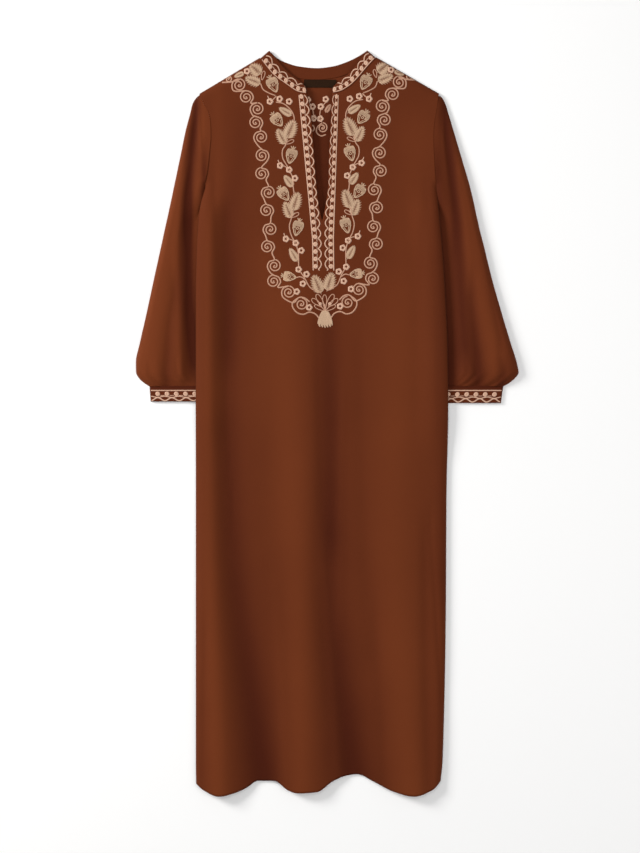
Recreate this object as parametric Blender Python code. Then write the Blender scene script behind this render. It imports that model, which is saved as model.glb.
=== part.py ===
"""A long kaftan laid flat with its front up, as one closed cloth solid for each sewn piece.

+X is to the right in the front view, +Y runs from the hem to the neck and +Z up from the
surface that it lies on. The origin is on that surface, at the middle of the garment.
Every size and place below is in millimetres, and is turned into metres as a mesh is made.
"""

import math
from collections import namedtuple

import bmesh
import bpy
from mathutils import Vector

METRES = 0.001

# Cloth
CLOTH = 1.5            # wall of the panels and the sleeves
BAND = 1.8             # wall of the collar and the cuffs, which are sewn double
SEAM = 0.3             # gap between two layers or two pieces
JOIN = 0.6             # gap in plan where a curved seam meets its neighbour
TURN = 0.9             # radius of the fold where two layers of cloth meet at a flat edge
BAND_TURN = 1.05       # the same for the thicker bands
ROLL = 15.0            # width over which the upper layer rolls down to an edge
OUTER_ROLL = 12.0      # the same along the outer edge of a sleeve
ROLL_STEPS = (0.06, 0.24, 0.55)  # shares of a roll's width at which it is given points
LEAST_RISE = 0.4       # how far the upper layer always stands over the closed cloth

# Levels along the body
HEM_LEVEL = -686.0
BACK_HEM_SHORTER = 4.0
SLIT_END = (-9.5, 383.0)
ARMPIT_LEVEL = 450.0
TOP_LEVEL = 625.0
HEM_REACH = 260.0      # length over which the rows take up the curve of the hem
TOP_REACH = 350.0      # length over which they take up the slope of the shoulders
HEM_ROWS, RAISED_ROWS, CHEST_ROWS, SLIT_ROWS, ARMHOLE_ROWS = 9, 3, 5, 2, 6

# Columns across half of the front, and across the back
SIDE_SHARE = 0.075     # share of the half that its rolled side takes up
SHOULDER_COLUMNS, NECK_COLUMNS = 5, 6
BACK_SHOULDER_COLUMNS, BACK_NECK_COLUMNS = 4, 10

# The body lies on the inner edges of the sleeves, and is raised over them
LIFT = 5.6
LIFT_FLAT = 22.0
LIFT_REACH = 62.0
RAISE_LOW, RAISE_HIGH = -90.0, 28.0
LOWER_LOW, LOWER_HIGH = 388.0, 448.0

Edge = namedtuple("Edge", "y left right")
BODY_EDGES = (
    Edge(-710, -248, 212),
    Edge(-640, -249, 219),
    Edge(-336, -249, 225),
    Edge(-146, -249, 226),
    Edge(25, -249, 229),
    Edge(139, -249, 228),
    Edge(234, -249, 224),
    Edge(329, -247, 218),
    Edge(395, -243, 212),
    Edge(450, -232, 207),
    Edge(481, -226, 204.5),
    Edge(509, -223, 203),
    Edge(536, -220.5, 202),
    Edge(560, -221, 203),
    Edge(581, -225, 206),
    Edge(601, -234, 209),
    Edge(625, -242, 212),
)

Spot = namedtuple("Spot", "x y")
HEM = (
    Spot(-252, -681), Spot(-234, -696), Spot(-205, -707), Spot(-172, -700), Spot(-152, -691),
    Spot(-132, -679), Spot(-100, -679), Spot(-74, -696), Spot(-57, -701), Spot(-20, -699),
    Spot(11, -679), Spot(31, -670.5), Spot(57, -666.5), Spot(90, -681), Spot(125, -698),
    Spot(165, -707), Spot(200, -695), Spot(220, -672),
)
LEFT_TIP = Spot(-242, 625)
LEFT_NECK = Spot(-128, 693)
RIGHT_NECK = Spot(93, 694)
RIGHT_TIP = Spot(212, 625)
LEFT_NECKLINE = (
    LEFT_NECK, Spot(-114, 674), Spot(-101, 659), Spot(-79, 643), Spot(-54, 627.5), Spot(-39, 625),
)
RIGHT_NECKLINE = (
    Spot(10, 626), Spot(24, 629), Spot(42, 639), Spot(55, 651), Spot(78, 678), RIGHT_NECK,
)
BACK_NECKLINE = (
    LEFT_NECK, Spot(-109, 676), Spot(-90, 665), Spot(-59, 656), Spot(-20, 653),
    Spot(11, 656), Spot(43, 665), Spot(70, 678), RIGHT_NECK,
)

Slit = namedtuple("Slit", "y left right")
SLIT_EDGES = (
    Slit(383, -9.5, -9.5),
    Slit(415, -16, -3),
    Slit(455, -20.5, 2),
    Slit(500, -24, 3),
    Slit(557, -28, 6),
    Slit(595, -32, 8),
    Slit(625, -39, 10),
)

# How high the upper layer stands over the closed cloth, along the body
Crown = namedtuple("Crown", "y rise")
BODY_CROWN = (Crown(-710, 8.5), Crown(-300, 7.5), Crown(200, 6.5), Crown(625, 6.0))
Crest = namedtuple("Crest", "y_top x_top y_mid x_mid y_low x_low half_top half_low rise_top rise_low")
FRONT_FOLDS = (
    Crest(360, -222, -100, -221, -700, -203, 14, 27, 2.5, 7.0),
    Crest(380, -192, -146, -184, -700, -118, 17, 38, -2.5, -8.0),
    Crest(220, -72, -200, -52, -700, -45, 42, 34, 2.0, 6.0),
    Crest(200, 4, -300, 6, -700, 54, 24, 40, -2.5, -8.0),
    Crest(230, 128, -200, 130, -700, 164, 60, 40, 2.0, 6.5),
    Crest(-230, 186, -450, 187, -700, 193, 10, 12, -1.5, -2.0),
)
LEFT_SLEEVE_FOLDS = (
    Crest(600, -249, 390, -263, 150, -256, 9, 15, -3.0, -3.5),
    Crest(460, -284, 300, -306, 130, -330, 16, 22, 1.5, 3.0),
    Crest(240, -290, 170, -300, 100, -303, 9, 12, -1.5, -3.0),
)
RIGHT_SLEEVE_FOLDS = (
    Crest(580, 222, 380, 243, 150, 256, 9, 16, -3.0, -3.0),
    Crest(470, 258, 300, 283, 130, 318, 16, 22, 1.5, 3.0),
    Crest(230, 275, 170, 281, 100, 288, 9, 12, -1.5, -3.0),
)
FOLD_FADE = 90.0

# Sections across the sleeves, from the shoulder tip down to the cuff. Above the armpit their
# inner end is the armhole. flat is the width that stays closed along the inner edge, where
# the body lies over the sleeve
Section = namedtuple("Section", "y outer inner rise flat")
LEFT_SECTIONS = (
    Section(625, -242, None, 6.0, 0),
    Section(618, -251, None, 6.0, 0),
    Section(606, -256, None, 6.2, 0),
    Section(587, -260, None, 6.4, 0),
    Section(557, -268, None, 6.7, 0),
    Section(511, -277.5, None, 7.0, 0),
    Section(451.5, -290, -234, 7.4, 0),
    Section(425, -295.5, -239.8, 7.6, 0),
    Section(409, -299, -242.8, 7.7, 2),
    Section(395, -302, -245.2, 7.8, 6),
    Section(384, -304.5, -244.5, 7.9, 9),
    Section(366, -308.5, -239, 8.0, 14),
    Section(345, -313, -235.5, 8.2, 18),
    Section(272, -329, -235, 8.6, 19),
    Section(207, -343, -235, 9.2, 19),
    Section(152, -355.5, -234.5, 10.0, 20),
    Section(115, -363, -233.5, 10.5, 20),
    Section(96, -362.5, -232.5, 10.0, 21),
    Section(84, -356, -231.5, 8.0, 21),
    Section(76, -347, -231, 5.0, 22),
    Section(69.6, -337, -230, 1.8, 22),
)
RIGHT_SECTIONS = (
    Section(625, 212, None, 6.0, 0),
    Section(618, 218, None, 6.0, 0),
    Section(606, 224, None, 6.2, 0),
    Section(587, 230, None, 6.4, 0),
    Section(557, 239, None, 6.7, 0),
    Section(511, 252.5, None, 7.0, 0),
    Section(451.5, 270, 209, 7.4, 0),
    Section(425, 276.5, 211.4, 7.6, 0),
    Section(409, 280, 212.9, 7.7, 2),
    Section(395, 283, 214.4, 7.8, 6),
    Section(384, 285.5, 214, 7.9, 8),
    Section(366, 289.5, 210.5, 8.0, 12),
    Section(345, 295, 209, 8.2, 15),
    Section(272, 313, 214, 8.6, 16),
    Section(207, 331.5, 216.5, 9.2, 17),
    Section(152, 348, 219, 10.0, 16),
    Section(115, 359.5, 221, 10.5, 15),
    Section(96, 363, 222.5, 10.0, 14),
    Section(84, 355, 223.5, 8.0, 13),
    Section(76, 345, 224.3, 5.0, 12),
    Section(69.6, 334, 225, 1.8, 10),
)
GATHERS = 5            # waves where a sleeve is gathered into its cuff
GATHER_RISE = 1.3
GATHER_TOP = 150.0     # level at which the gathers have run out
SLEEVE_LEVELS = (69.6, 74, 80, 88, 100, 120, 150, 195, 250, 305, 345, 366, 384, 404, 426, 451.5)
SLEEVE_TIP_ROWS = 3    # rows of the body above the top of the sleeves
SLEEVE_SETTLE = 80.0   # length below the armpit over which the inner edge flattens
FULL_SLEEVE = 44.0     # width of the narrowest row that holds every step of its rolls
LEAST_FLAT = 2.7       # least width that stays closed along the inner edge
SLEEVE_UPPER_STEPS, SLEEVE_LOWER_STEPS = 12, 7

Hoop = namedtuple("Hoop", "outer_x inner_x y")
LEFT_CUFF = (Hoop(-336.6, -230, 69.0), Hoop(-335.6, -230.2, 55), Hoop(-334.6, -230.6, 40.8))
RIGHT_CUFF = (Hoop(333.6, 225, 69.0), Hoop(331.4, 225.2, 54), Hoop(329.2, 225.6, 38.0))
CUFF_RISE = 1.2
CUFF_ROLL = 26.0
CUFF_UPPER_STEPS, CUFF_LOWER_STEPS = 12, 4

# Stations round the stand collar, on its sewn edge and on its free edge
Station = namedtuple("Station", "seam_x seam_y free_x free_y")
COLLAR_LEFT = (
    Station(-39, 625, -41, 637.5),
    Station(-54, 627.5, -49.5, 646.5),
    Station(-67, 635.5, -59.5, 655),
    Station(-79, 643, -71, 663.5),
    Station(-101, 659, -86.5, 679.5),
    Station(-114, 674, -98, 693),
    Station(-127, 692, -110, 706.5),
)
COLLAR_BACK = (
    Station(-127, 692, -110, 706.5),
    Station(-109, 676, -95, 693),
    Station(-90, 665, -80, 685),
    Station(-59, 656, -52, 677),
    Station(-20, 653, -19, 674),
    Station(11, 656, 9, 677),
    Station(43, 665, 38, 686),
    Station(70, 678, 57, 695),
    Station(92, 693, 76, 707),
)
COLLAR_RIGHT = (
    Station(92, 693, 76, 707),
    Station(78, 678, 65, 692),
    Station(55, 651, 46.5, 668.5),
    Station(42, 639, 33, 656),
    Station(24, 629, 20, 646.5),
    Station(10, 626, 11, 637.5),
)
COLLAR_JOIN = 1.0      # gap in plan between the collar and the panels
COLLAR_STEPS = 4       # strips from the sewn edge to the free edge
COLLAR_FRONT_STEPS, COLLAR_BACK_STEPS = 12, 16
COLLAR_TURN_SLOPE = 0.6  # how far the seam falls for each millimetre in from a peak
COLLAR_FREE_RISE = 2.6
COLLAR_CROWN = 0.8

LABEL_LEFT, LABEL_RIGHT = -44.0, 17.0
LABEL_LOW, LABEL_HIGH = 637.0, 652.0
LABEL_THICK = 0.6

Finish = namedtuple("Finish", "red green blue roughness")
TWILL = Finish(0.167, 0.040, 0.0142, 0.86)
EMBROIDERED_BAND = Finish(0.26, 0.105, 0.055, 0.80)
LABEL_RIBBON = Finish(0.035, 0.016, 0.010, 0.60)

WELD = 0.001 * METRES  # points nearer than this are sewn into one
FLAT_RIM = 0.7         # upright part of the normal above which a rim counts as cut, not rolled
SHARP_ANGLE = math.radians(40)


def clamp(value, low=0.0, high=1.0):
    return max(low, min(high, value))


def ease(value):
    """Smooth step from 0 to 1."""
    value = clamp(value)
    return value * value * (3.0 - 2.0 * value)


def blend(start, end, share):
    return start + (end - start) * share


def slopes(keys, values):
    """Slope at each row, kept flat at peaks so that a curve never overshoots its rows."""
    steps = [(values[i + 1] - values[i]) / (keys[i + 1] - keys[i]) for i in range(len(keys) - 1)]
    inner = []
    for before, after in zip(steps, steps[1:]):
        if before * after <= 0.0:
            inner.append(0.0)
        else:
            inner.append(2.0 * before * after / (before + after))
    return [steps[0]] + inner + [steps[-1]]


def read_curve(keys, values, at):
    """Value at a key of the smooth curve through the rows, keys rising."""
    at = clamp(at, keys[0], keys[-1])
    slope = slopes(keys, values)
    i = 0
    while i < len(keys) - 2 and at > keys[i + 1]:
        i += 1
    span = keys[i + 1] - keys[i]
    t = (at - keys[i]) / span
    start = (1 + 2 * t) * (1 - t) ** 2 * values[i] + t * (1 - t) ** 2 * span * slope[i]
    end = t * t * (3 - 2 * t) * values[i + 1] + t * t * (t - 1) * span * slope[i + 1]
    return start + end


def column(rows, key, value, at):
    """Smooth value of one named column of a table at a key of another."""
    return read_curve([getattr(row, key) for row in rows], [getattr(row, value) for row in rows], at)


def body_edge(side, y):
    return column(BODY_EDGES, "y", side, y)


def hem_height(x):
    return column(HEM, "x", "y", x)


def shoulder_height(x):
    """Height of the shoulder line, or of the straight line between the neck points."""
    if x < LEFT_NECK.x:
        return blend(LEFT_TIP.y, LEFT_NECK.y, (x - LEFT_TIP.x) / (LEFT_NECK.x - LEFT_TIP.x))
    return blend(RIGHT_TIP.y, RIGHT_NECK.y, (x - RIGHT_TIP.x) / (RIGHT_NECK.x - RIGHT_TIP.x))


def front_top(x):
    if x < LEFT_NECK.x or x > RIGHT_NECK.x:
        return shoulder_height(x)
    return column(LEFT_NECKLINE if x < SLIT_END[0] else RIGHT_NECKLINE, "x", "y", x)


def back_top(x):
    if x < LEFT_NECK.x or x > RIGHT_NECK.x:
        return shoulder_height(x)
    return column(BACK_NECKLINE, "x", "y", x)


def span_distance(x, y, a, b):
    """Distance in plan from a place to the straight line between two others."""
    along_x, along_y = b[0] - a[0], b[1] - a[1]
    share = ((x - a[0]) * along_x + (y - a[1]) * along_y) / (along_x ** 2 + along_y ** 2)
    share = clamp(share)
    return math.hypot(x - a[0] - share * along_x, y - a[1] - share * along_y)


def side_distance(x, y):
    """Distance to the nearer side seam, or to its armpit end from above."""
    level = min(y, ARMPIT_LEVEL)
    gaps = (x - body_edge("left", level), body_edge("right", level) - x)
    return math.hypot(max(0.0, min(gaps)), y - level)


def rolled_distance(x, y):
    """Distance to the nearest edge at which the front is joined to the back."""
    left = span_distance(x, y, LEFT_TIP, LEFT_NECK)
    right = span_distance(x, y, RIGHT_TIP, RIGHT_NECK)
    return min(side_distance(x, y), left, right)


def round_off(distance, reach=ROLL):
    """Share of the full height at a distance from a rolled edge."""
    inward = 1.0 - clamp(distance / reach)
    return math.sqrt(1.0 - inward * inward)


def fold_rise(folds, x, y):
    """Height that ridges add and valleys take away."""
    total = 0.0
    for fold in folds:
        level = clamp(y, fold.y_low, fold.y_top)
        share = (fold.y_top - level) / (fold.y_top - fold.y_low)
        centre = read_curve(
            (fold.y_low, fold.y_mid, fold.y_top), (fold.x_low, fold.x_mid, fold.x_top), level)
        half = blend(fold.half_top, fold.half_low, share)
        rise = blend(fold.rise_top, fold.rise_low, share)
        away = abs(x - centre) / half
        fade = ease(1.0 - abs(y - level) / FOLD_FADE)
        total += rise * fade * math.exp(-away * away)
    return total


def side_lift(x, y):
    """How far the body is raised over the inner edges of the sleeves."""
    rising = ease((y - RAISE_LOW) / (RAISE_HIGH - RAISE_LOW))
    ending = ease((LOWER_HIGH - y) / (LOWER_HIGH - LOWER_LOW))
    inward = ease((LIFT_REACH - side_distance(x, y)) / (LIFT_REACH - LIFT_FLAT))
    return LIFT * rising * ending * inward


def back_height(x, y):
    """Middle of the back panel's wall."""
    return CLOTH / 2 + side_lift(x, y)


def front_height(x, y):
    """Middle of the front panel's wall."""
    rise = max(LEAST_RISE, column(BODY_CROWN, "y", "rise", y) + fold_rise(FRONT_FOLDS, x, y))
    return back_height(x, y) + CLOTH + SEAM + rise * round_off(rolled_distance(x, y))


def panel_place(level, x, hem, top):
    """Plan place of a point, moved from its level towards the hem or the top line."""
    hem_share = clamp(1.0 - (level - HEM_LEVEL) / HEM_REACH) ** 2
    top_share = clamp(1.0 - (TOP_LEVEL - level) / TOP_REACH) ** 2
    y = level + hem_share * (hem(x) - HEM_LEVEL) + top_share * (top(x) - TOP_LEVEL)
    return x, y


def even(start, end, count):
    """Evenly spaced values after the start, up to the end."""
    return [blend(start, end, (i + 1) / count) for i in range(count)]


def half_shares(neck_share):
    """Column shares from the side edge to the middle, close together on the rolled edge."""
    rolled = [0.0] + [SIDE_SHARE * step for step in ROLL_STEPS] + [SIDE_SHARE]
    rolled += even(SIDE_SHARE, neck_share, SHOULDER_COLUMNS)
    return rolled + even(neck_share, 1.0, NECK_COLUMNS)


def body_levels():
    """Levels of the rows of both panels, closest where the cloth rolls or is raised."""
    levels = [HEM_LEVEL]
    for end, count in ((RAISE_LOW, HEM_ROWS), (RAISE_HIGH, RAISED_ROWS), (SLIT_END[1], CHEST_ROWS),
                       (ARMPIT_LEVEL, SLIT_ROWS), (TOP_LEVEL - ROLL, ARMHOLE_ROWS)):
        levels += even(levels[-1], end, count)
    return levels + [TOP_LEVEL - ROLL * step for step in reversed(ROLL_STEPS)] + [TOP_LEVEL]


def front_rows():
    """Left and right halves of the front, from the hem up, split along the neck slit."""
    levels = body_levels()
    left_inner, right_inner = SLIT_EDGES[-1].left, SLIT_EDGES[-1].right
    left_neck = (LEFT_NECK.x - LEFT_TIP.x) / (left_inner - LEFT_TIP.x)
    right_neck = (RIGHT_NECK.x - RIGHT_TIP.x) / (right_inner - RIGHT_TIP.x)
    halves = []
    for side, neck in (("left", left_neck), ("right", right_neck)):
        shares = half_shares(neck)
        rows = []
        for level in levels:
            outer = body_edge(side, level)
            inner = SLIT_END[0] if level <= SLIT_END[1] else column(SLIT_EDGES, "y", side, level)
            row = []
            for share in shares:
                x, y = panel_place(level, blend(outer, inner, share), hem_height, front_top)
                row.append(Vector((x, y, front_height(x, y))))
            rows.append(row)
        halves.append(rows)
    return halves


def back_rows():
    """The back panel, from the hem up, a little shorter than the front."""
    levels = body_levels()
    neck_left = (LEFT_NECK.x - LEFT_TIP.x) / (RIGHT_TIP.x - LEFT_TIP.x)
    neck_right = (RIGHT_NECK.x - LEFT_TIP.x) / (RIGHT_TIP.x - LEFT_TIP.x)
    shares = [0.0] + even(0.0, neck_left, BACK_SHOULDER_COLUMNS)
    shares += even(neck_left, neck_right, BACK_NECK_COLUMNS)
    shares += even(neck_right, 1.0, BACK_SHOULDER_COLUMNS)
    rows = []
    for level in levels:
        row = []
        for share in shares:
            across = blend(body_edge("left", level), body_edge("right", level), share)
            x, y = panel_place(
                level, across, lambda place: hem_height(place) + BACK_HEM_SHORTER, back_top)
            row.append(Vector((x, y, back_height(x, y))))
        rows.append(row)
    return rows


def armhole_place(side, level):
    """Place on the body's armhole at a level."""
    return panel_place(level, body_edge(side, level), hem_height, front_top)


def loop_steps(width, flat):
    """Distances from the outer edge across the upper layer, and back along the lower one."""
    outer = [TURN] + [OUTER_ROLL * step for step in ROLL_STEPS[1:]] + [OUTER_ROLL]
    rolled = width - flat
    inner = [rolled - ROLL * step for step in reversed(ROLL_STEPS[1:])]
    inner += [rolled, width - flat / 2, width - TURN]
    upper = outer + even(outer[-1], rolled - ROLL, SLEEVE_UPPER_STEPS) + inner
    return upper, even(inner[-1], outer[0], SLEEVE_LOWER_STEPS)


def scaled(steps, width, full):
    """Steps of a full row squeezed into a narrower one, its fold kept as round."""
    return [steps[0]] + [blend(steps[0], width, (step - steps[0]) / (full - steps[0]))
                         for step in steps[1:]]


def polyline_gap(x, y, places):
    return min(span_distance(x, y, a, b) for a, b in zip(places, places[1:]))


def sleeve_height(sections, folds, x, y):
    """Middle of the upper layer's wall of a sleeve."""
    rising = tuple(reversed(sections))
    outer_edge = [(row.outer, row.y) for row in sections]
    folded = [row for row in sections if row.inner is not None]
    from_outer = polyline_gap(x, y, outer_edge)
    from_inner = polyline_gap(x, y, [(row.inner, row.y) for row in folded])
    from_inner = max(0.0, from_inner - column(rising, "y", "flat", y))
    below = ease((folded[0].y - y) / SLEEVE_SETTLE)
    rolled = blend(round_off(from_inner), ease(from_inner / (2.0 * ROLL)), below)
    rolled *= round_off(from_outer, OUTER_ROLL)
    rise = column(rising, "y", "rise", y) + fold_rise(folds, x, y)
    share = (x - column(rising, "y", "outer", y)) / (folded[-1].inner - folded[-1].outer)
    pleat = ease((GATHER_TOP - y) / (GATHER_TOP - sections[-1].y))
    rise += GATHER_RISE * pleat * math.cos(2.0 * math.pi * GATHERS * share)
    return CLOTH * 1.5 + SEAM + max(LEAST_RISE, rise) * rolled


def sleeve_rows(side, sections, folds):
    """Rows round a sleeve from the cuff up, open along the armhole and closed below it."""
    sign = -1.0 if side == "left" else 1.0
    rising = tuple(reversed(sections))
    folded = [row for row in rising if row.inner is not None]
    rows = []
    for y in SLEEVE_LEVELS:
        inner = read_curve([row.y for row in folded], [row.inner for row in folded], y)
        rows.append((column(rising, "y", "outer", y), inner, y, column(rising, "y", "flat", y), True))
    for level in body_levels()[:-SLEEVE_TIP_ROWS]:
        if level > ARMPIT_LEVEL:
            seam_x, seam_y = armhole_place(side, level)
            outer = column(rising, "y", "outer", seam_y)
            rows.append((outer, seam_x + sign * JOIN, seam_y, 0.0, False))
    grid = []
    for outer, inner, y, flat, closed in rows:
        width = abs(inner - outer)
        full = max(width, FULL_SLEEVE)
        upper, lower = loop_steps(full, max(flat, LEAST_FLAT))
        if width < full:
            upper = scaled(upper, width - (TURN if closed else 0.0), upper[-1])
            lower = even(upper[-1], upper[0], SLEEVE_LOWER_STEPS)

        def at(step, height):
            return Vector((blend(outer, inner, step / width), y, height))

        over = [at(step, sleeve_height(sections, folds, blend(outer, inner, step / width), y))
                for step in upper]
        under = [at(step, CLOTH / 2) for step in [upper[-1]] + lower]
        seam = sleeve_height(sections, folds, inner, y)
        first = at(width, CLOTH / 2 + TURN if closed else seam)
        last = at(width, CLOTH / 2 + (TURN if closed else 0.0))
        fold = at(0.0, CLOTH / 2 + TURN)
        grid.append([first] + over[::-1] + [fold] + under[::-1] + [last])
    return grid


def cuff_rows(hoops):
    """Closed loops round a cuff, from the sleeve to its open end."""
    rows = []
    floor = BAND / 2
    middle = floor + (BAND + SEAM) / 2
    for hoop in hoops:
        width = abs(hoop.outer_x - hoop.inner_x)
        steps = even(BAND_TURN, width - BAND_TURN, CUFF_UPPER_STEPS)
        row = [Vector((hoop.outer_x, hoop.y, middle))]
        for step in [BAND_TURN] + steps:
            rise = CUFF_RISE * round_off(min(step, width - step), CUFF_ROLL)
            row.append(Vector((blend(hoop.outer_x, hoop.inner_x, step / width), hoop.y,
                               floor + BAND + SEAM + rise)))
        row.append(Vector((hoop.inner_x, hoop.y, middle)))
        for step in [width - BAND_TURN] + even(width - BAND_TURN, BAND_TURN, CUFF_LOWER_STEPS):
            row.append(Vector((blend(hoop.outer_x, hoop.inner_x, step / width), hoop.y, floor)))
        rows.append(row)
    return rows


def collar_stretch(stations, count, top):
    """Evenly spread stations on smooth curves along a stretch, sewn to a panel's top line."""
    runs = [0.0]
    for before, after in zip(stations, stations[1:]):
        runs.append(runs[-1] + math.hypot(after.seam_x - before.seam_x, after.seam_y - before.seam_y))
    spread = []
    for step in range(count + 1):
        at = runs[-1] * step / count
        spot = Station(*(read_curve(runs, [row[i] for row in stations], at) for i in range(4)))
        spread.append(spot._replace(seam_y=top(spot.seam_x)))
    return spread


def collar_rows():
    """Strips along the collar, from one end at the slit round the back to the other."""
    left_peak, right_peak = COLLAR_LEFT[-1], COLLAR_RIGHT[0]
    turn = (BAND + SEAM) / 2

    def over(station, share):
        """Point on a front stretch of the collar, which lies above the back stretch."""
        x = blend(station.seam_x, station.free_x, share)
        y = blend(station.seam_y, station.free_y, share)
        from_peak = min(
            span_distance(x, y, (peak.seam_x, peak.seam_y), (peak.free_x, peak.free_y))
            for peak in (left_peak, right_peak))
        seam_rise = front_height(station.seam_x, station.seam_y) - CLOTH * 1.5 - SEAM
        free_rise = COLLAR_FREE_RISE * round_off(from_peak, 2.0 * ROLL)
        rise = blend(seam_rise, free_rise, share)
        rise += COLLAR_CROWN * math.sin(math.pi * share) * round_off(from_peak)
        return Vector((x, y, BAND * 1.5 + SEAM + max(0.0, rise)))

    def under(station, share):
        """Point on the back stretch, which lies on the surface."""
        return Vector((blend(station.seam_x, station.free_x, share),
                       blend(station.seam_y, station.free_y, share), BAND / 2))

    def nearer(peak, shift):
        """Station moved in from a peak by the radius of the turn."""
        fall = abs(shift) * COLLAR_TURN_SLOPE
        return Station(peak.seam_x + shift, peak.seam_y - fall, peak.free_x + shift, peak.free_y - fall)

    left = collar_stretch(COLLAR_LEFT, COLLAR_FRONT_STEPS, front_top)
    back = collar_stretch(COLLAR_BACK, COLLAR_BACK_STEPS, back_top)
    right = collar_stretch(COLLAR_RIGHT, COLLAR_FRONT_STEPS, front_top)
    rows = []
    for step in range(COLLAR_STEPS + 1):
        share = step / COLLAR_STEPS
        row = [over(station, share) for station in left[:-1]]
        row.append(over(nearer(left_peak, turn), share))
        row.append(under(left_peak, share) + Vector((0, 0, turn)))
        row.append(under(nearer(left_peak, turn), share))
        row += [under(station, share) for station in back[1:-1]]
        row.append(under(nearer(right_peak, -turn), share))
        row.append(under(right_peak, share) + Vector((0, 0, turn)))
        row.append(over(nearer(right_peak, -turn), share))
        row += [over(station, share) for station in right[1:]]
        rows.append(row)
    return [[place_off_seam(row[i], rows[-1][i]) if number == 0 else row[i]
             for i in range(len(row))] for number, row in enumerate(rows)]


def place_off_seam(point, free_point):
    """Point moved from the seam towards the free edge, to stay clear of the panels."""
    away = free_point - point
    away.z = 0.0
    return point + away.normalized() * COLLAR_JOIN


def add_grid(mesh, rows, ring):
    """Faces of a grid of points, closed on itself along each row for a ring."""
    verts = [[mesh.verts.new(point * METRES) for point in row] for row in rows]
    for lower, upper in zip(verts, verts[1:]):
        for i in range(len(lower) if ring else len(lower) - 1):
            j = (i + 1) % len(lower)
            mesh.faces.new((lower[i], lower[j], upper[j], upper[i]))


def wall_direction(vert):
    """Direction across the wall, upright along a cut edge that isn't rolled down."""
    normal = vert.normal.copy()
    rims = [edge.other_vert(vert).co for edge in vert.link_edges if edge.is_boundary]
    if len(rims) != 2 or abs(normal.z) < FLAT_RIM:
        return normal
    run = rims[1] - rims[0]
    outward = Vector((run.y, -run.x, 0.0)).normalized()
    return (normal - outward * normal.dot(outward)).normalized()


def thicken(middle, wall):
    """Closed wall of cloth to both sides of the surface through its middle."""
    middle.normal_update()
    middle.verts.index_update()
    solid = bmesh.new()
    offsets = [wall_direction(vert) * wall * METRES / 2 for vert in middle.verts]
    outer = [solid.verts.new(vert.co + shift) for vert, shift in zip(middle.verts, offsets)]
    inner = [solid.verts.new(vert.co - shift) for vert, shift in zip(middle.verts, offsets)]
    for face in middle.faces:
        corners = [vert.index for vert in face.verts]
        solid.faces.new([outer[i] for i in corners])
        solid.faces.new([inner[i] for i in reversed(corners)])
    for edge in middle.edges:
        if edge.is_boundary:
            face = edge.link_faces[0]
            loop = next(loop for loop in face.loops if loop.edge == edge)
            a, b = loop.vert.index, loop.link_loop_next.vert.index
            solid.faces.new((outer[b], outer[a], inner[a], inner[b]))
    bmesh.ops.recalc_face_normals(solid, faces=solid.faces)
    bmesh.ops.triangulate(solid, faces=solid.faces)
    return solid


def finish_material(name, finish):
    material = bpy.data.materials.new(name)
    material.use_nodes = True
    shader = material.node_tree.nodes["Principled BSDF"]
    shader.inputs["Base Color"].default_value = (finish.red, finish.green, finish.blue, 1.0)
    shader.inputs["Roughness"].default_value = finish.roughness
    return material


def add_piece(name, solid, material, parent):
    """Object for one piece, shaded smooth with its rims kept sharp."""
    data = bpy.data.meshes.new(name)
    solid.to_mesh(data)
    solid.free()
    data.shade_smooth()
    data.set_sharp_from_angle(angle=SHARP_ANGLE)
    data.materials.append(material)
    piece = bpy.data.objects.new(name, data)
    piece.parent = parent
    bpy.context.scene.collection.objects.link(piece)
    return piece


def cloth_piece(name, grids, wall, material, parent, ring=False):
    """Piece of cloth from one or more grids of points, sewn where they meet."""
    middle = bmesh.new()
    for rows in grids:
        add_grid(middle, rows, ring)
    bmesh.ops.remove_doubles(middle, verts=middle.verts, dist=WELD)
    bmesh.ops.recalc_face_normals(middle, faces=middle.faces)
    solid = thicken(middle, wall)
    middle.free()
    return add_piece(name, solid, material, parent)


def label_piece(material, parent):
    """Plain ribbon label on the inside of the back, under the back neck seam."""
    low = CLOTH + SEAM
    solid = bmesh.new()
    bmesh.ops.create_cube(solid, size=1.0)
    size = Vector((LABEL_RIGHT - LABEL_LEFT, LABEL_HIGH - LABEL_LOW, LABEL_THICK))
    centre = Vector((LABEL_LEFT + LABEL_RIGHT, LABEL_LOW + LABEL_HIGH, 2 * low + LABEL_THICK)) / 2
    for vert in solid.verts:
        vert.co = (Vector([vert.co[i] * size[i] for i in range(3)]) + centre) * METRES
    return add_piece("neck_label", solid, material, parent)


def clear_scene():
    for item in list(bpy.data.objects):
        bpy.data.objects.remove(item, do_unlink=True)


def main():
    clear_scene()
    garment = bpy.data.objects.new("kaftan", None)
    bpy.context.scene.collection.objects.link(garment)
    twill = finish_material("twill", TWILL)
    band = finish_material("embroidered_band", EMBROIDERED_BAND)
    ribbon = finish_material("label_ribbon", LABEL_RIBBON)
    cloth_piece("back_panel", [back_rows()], CLOTH, twill, garment)
    left_half, right_half = front_rows()
    cloth_piece("front_panel", [left_half, right_half], CLOTH, twill, garment)
    left_sleeve = sleeve_rows("left", LEFT_SECTIONS, LEFT_SLEEVE_FOLDS)
    right_sleeve = sleeve_rows("right", RIGHT_SECTIONS, RIGHT_SLEEVE_FOLDS)
    cloth_piece("sleeve_left", [left_sleeve], CLOTH, twill, garment)
    cloth_piece("sleeve_right", [right_sleeve], CLOTH, twill, garment)
    cloth_piece("cuff_left", [cuff_rows(LEFT_CUFF)], BAND, band, garment, ring=True)
    cloth_piece("cuff_right", [cuff_rows(RIGHT_CUFF)], BAND, band, garment, ring=True)
    cloth_piece("collar", [collar_rows()], BAND, band, garment)
    label_piece(ribbon, garment)


main()
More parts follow.
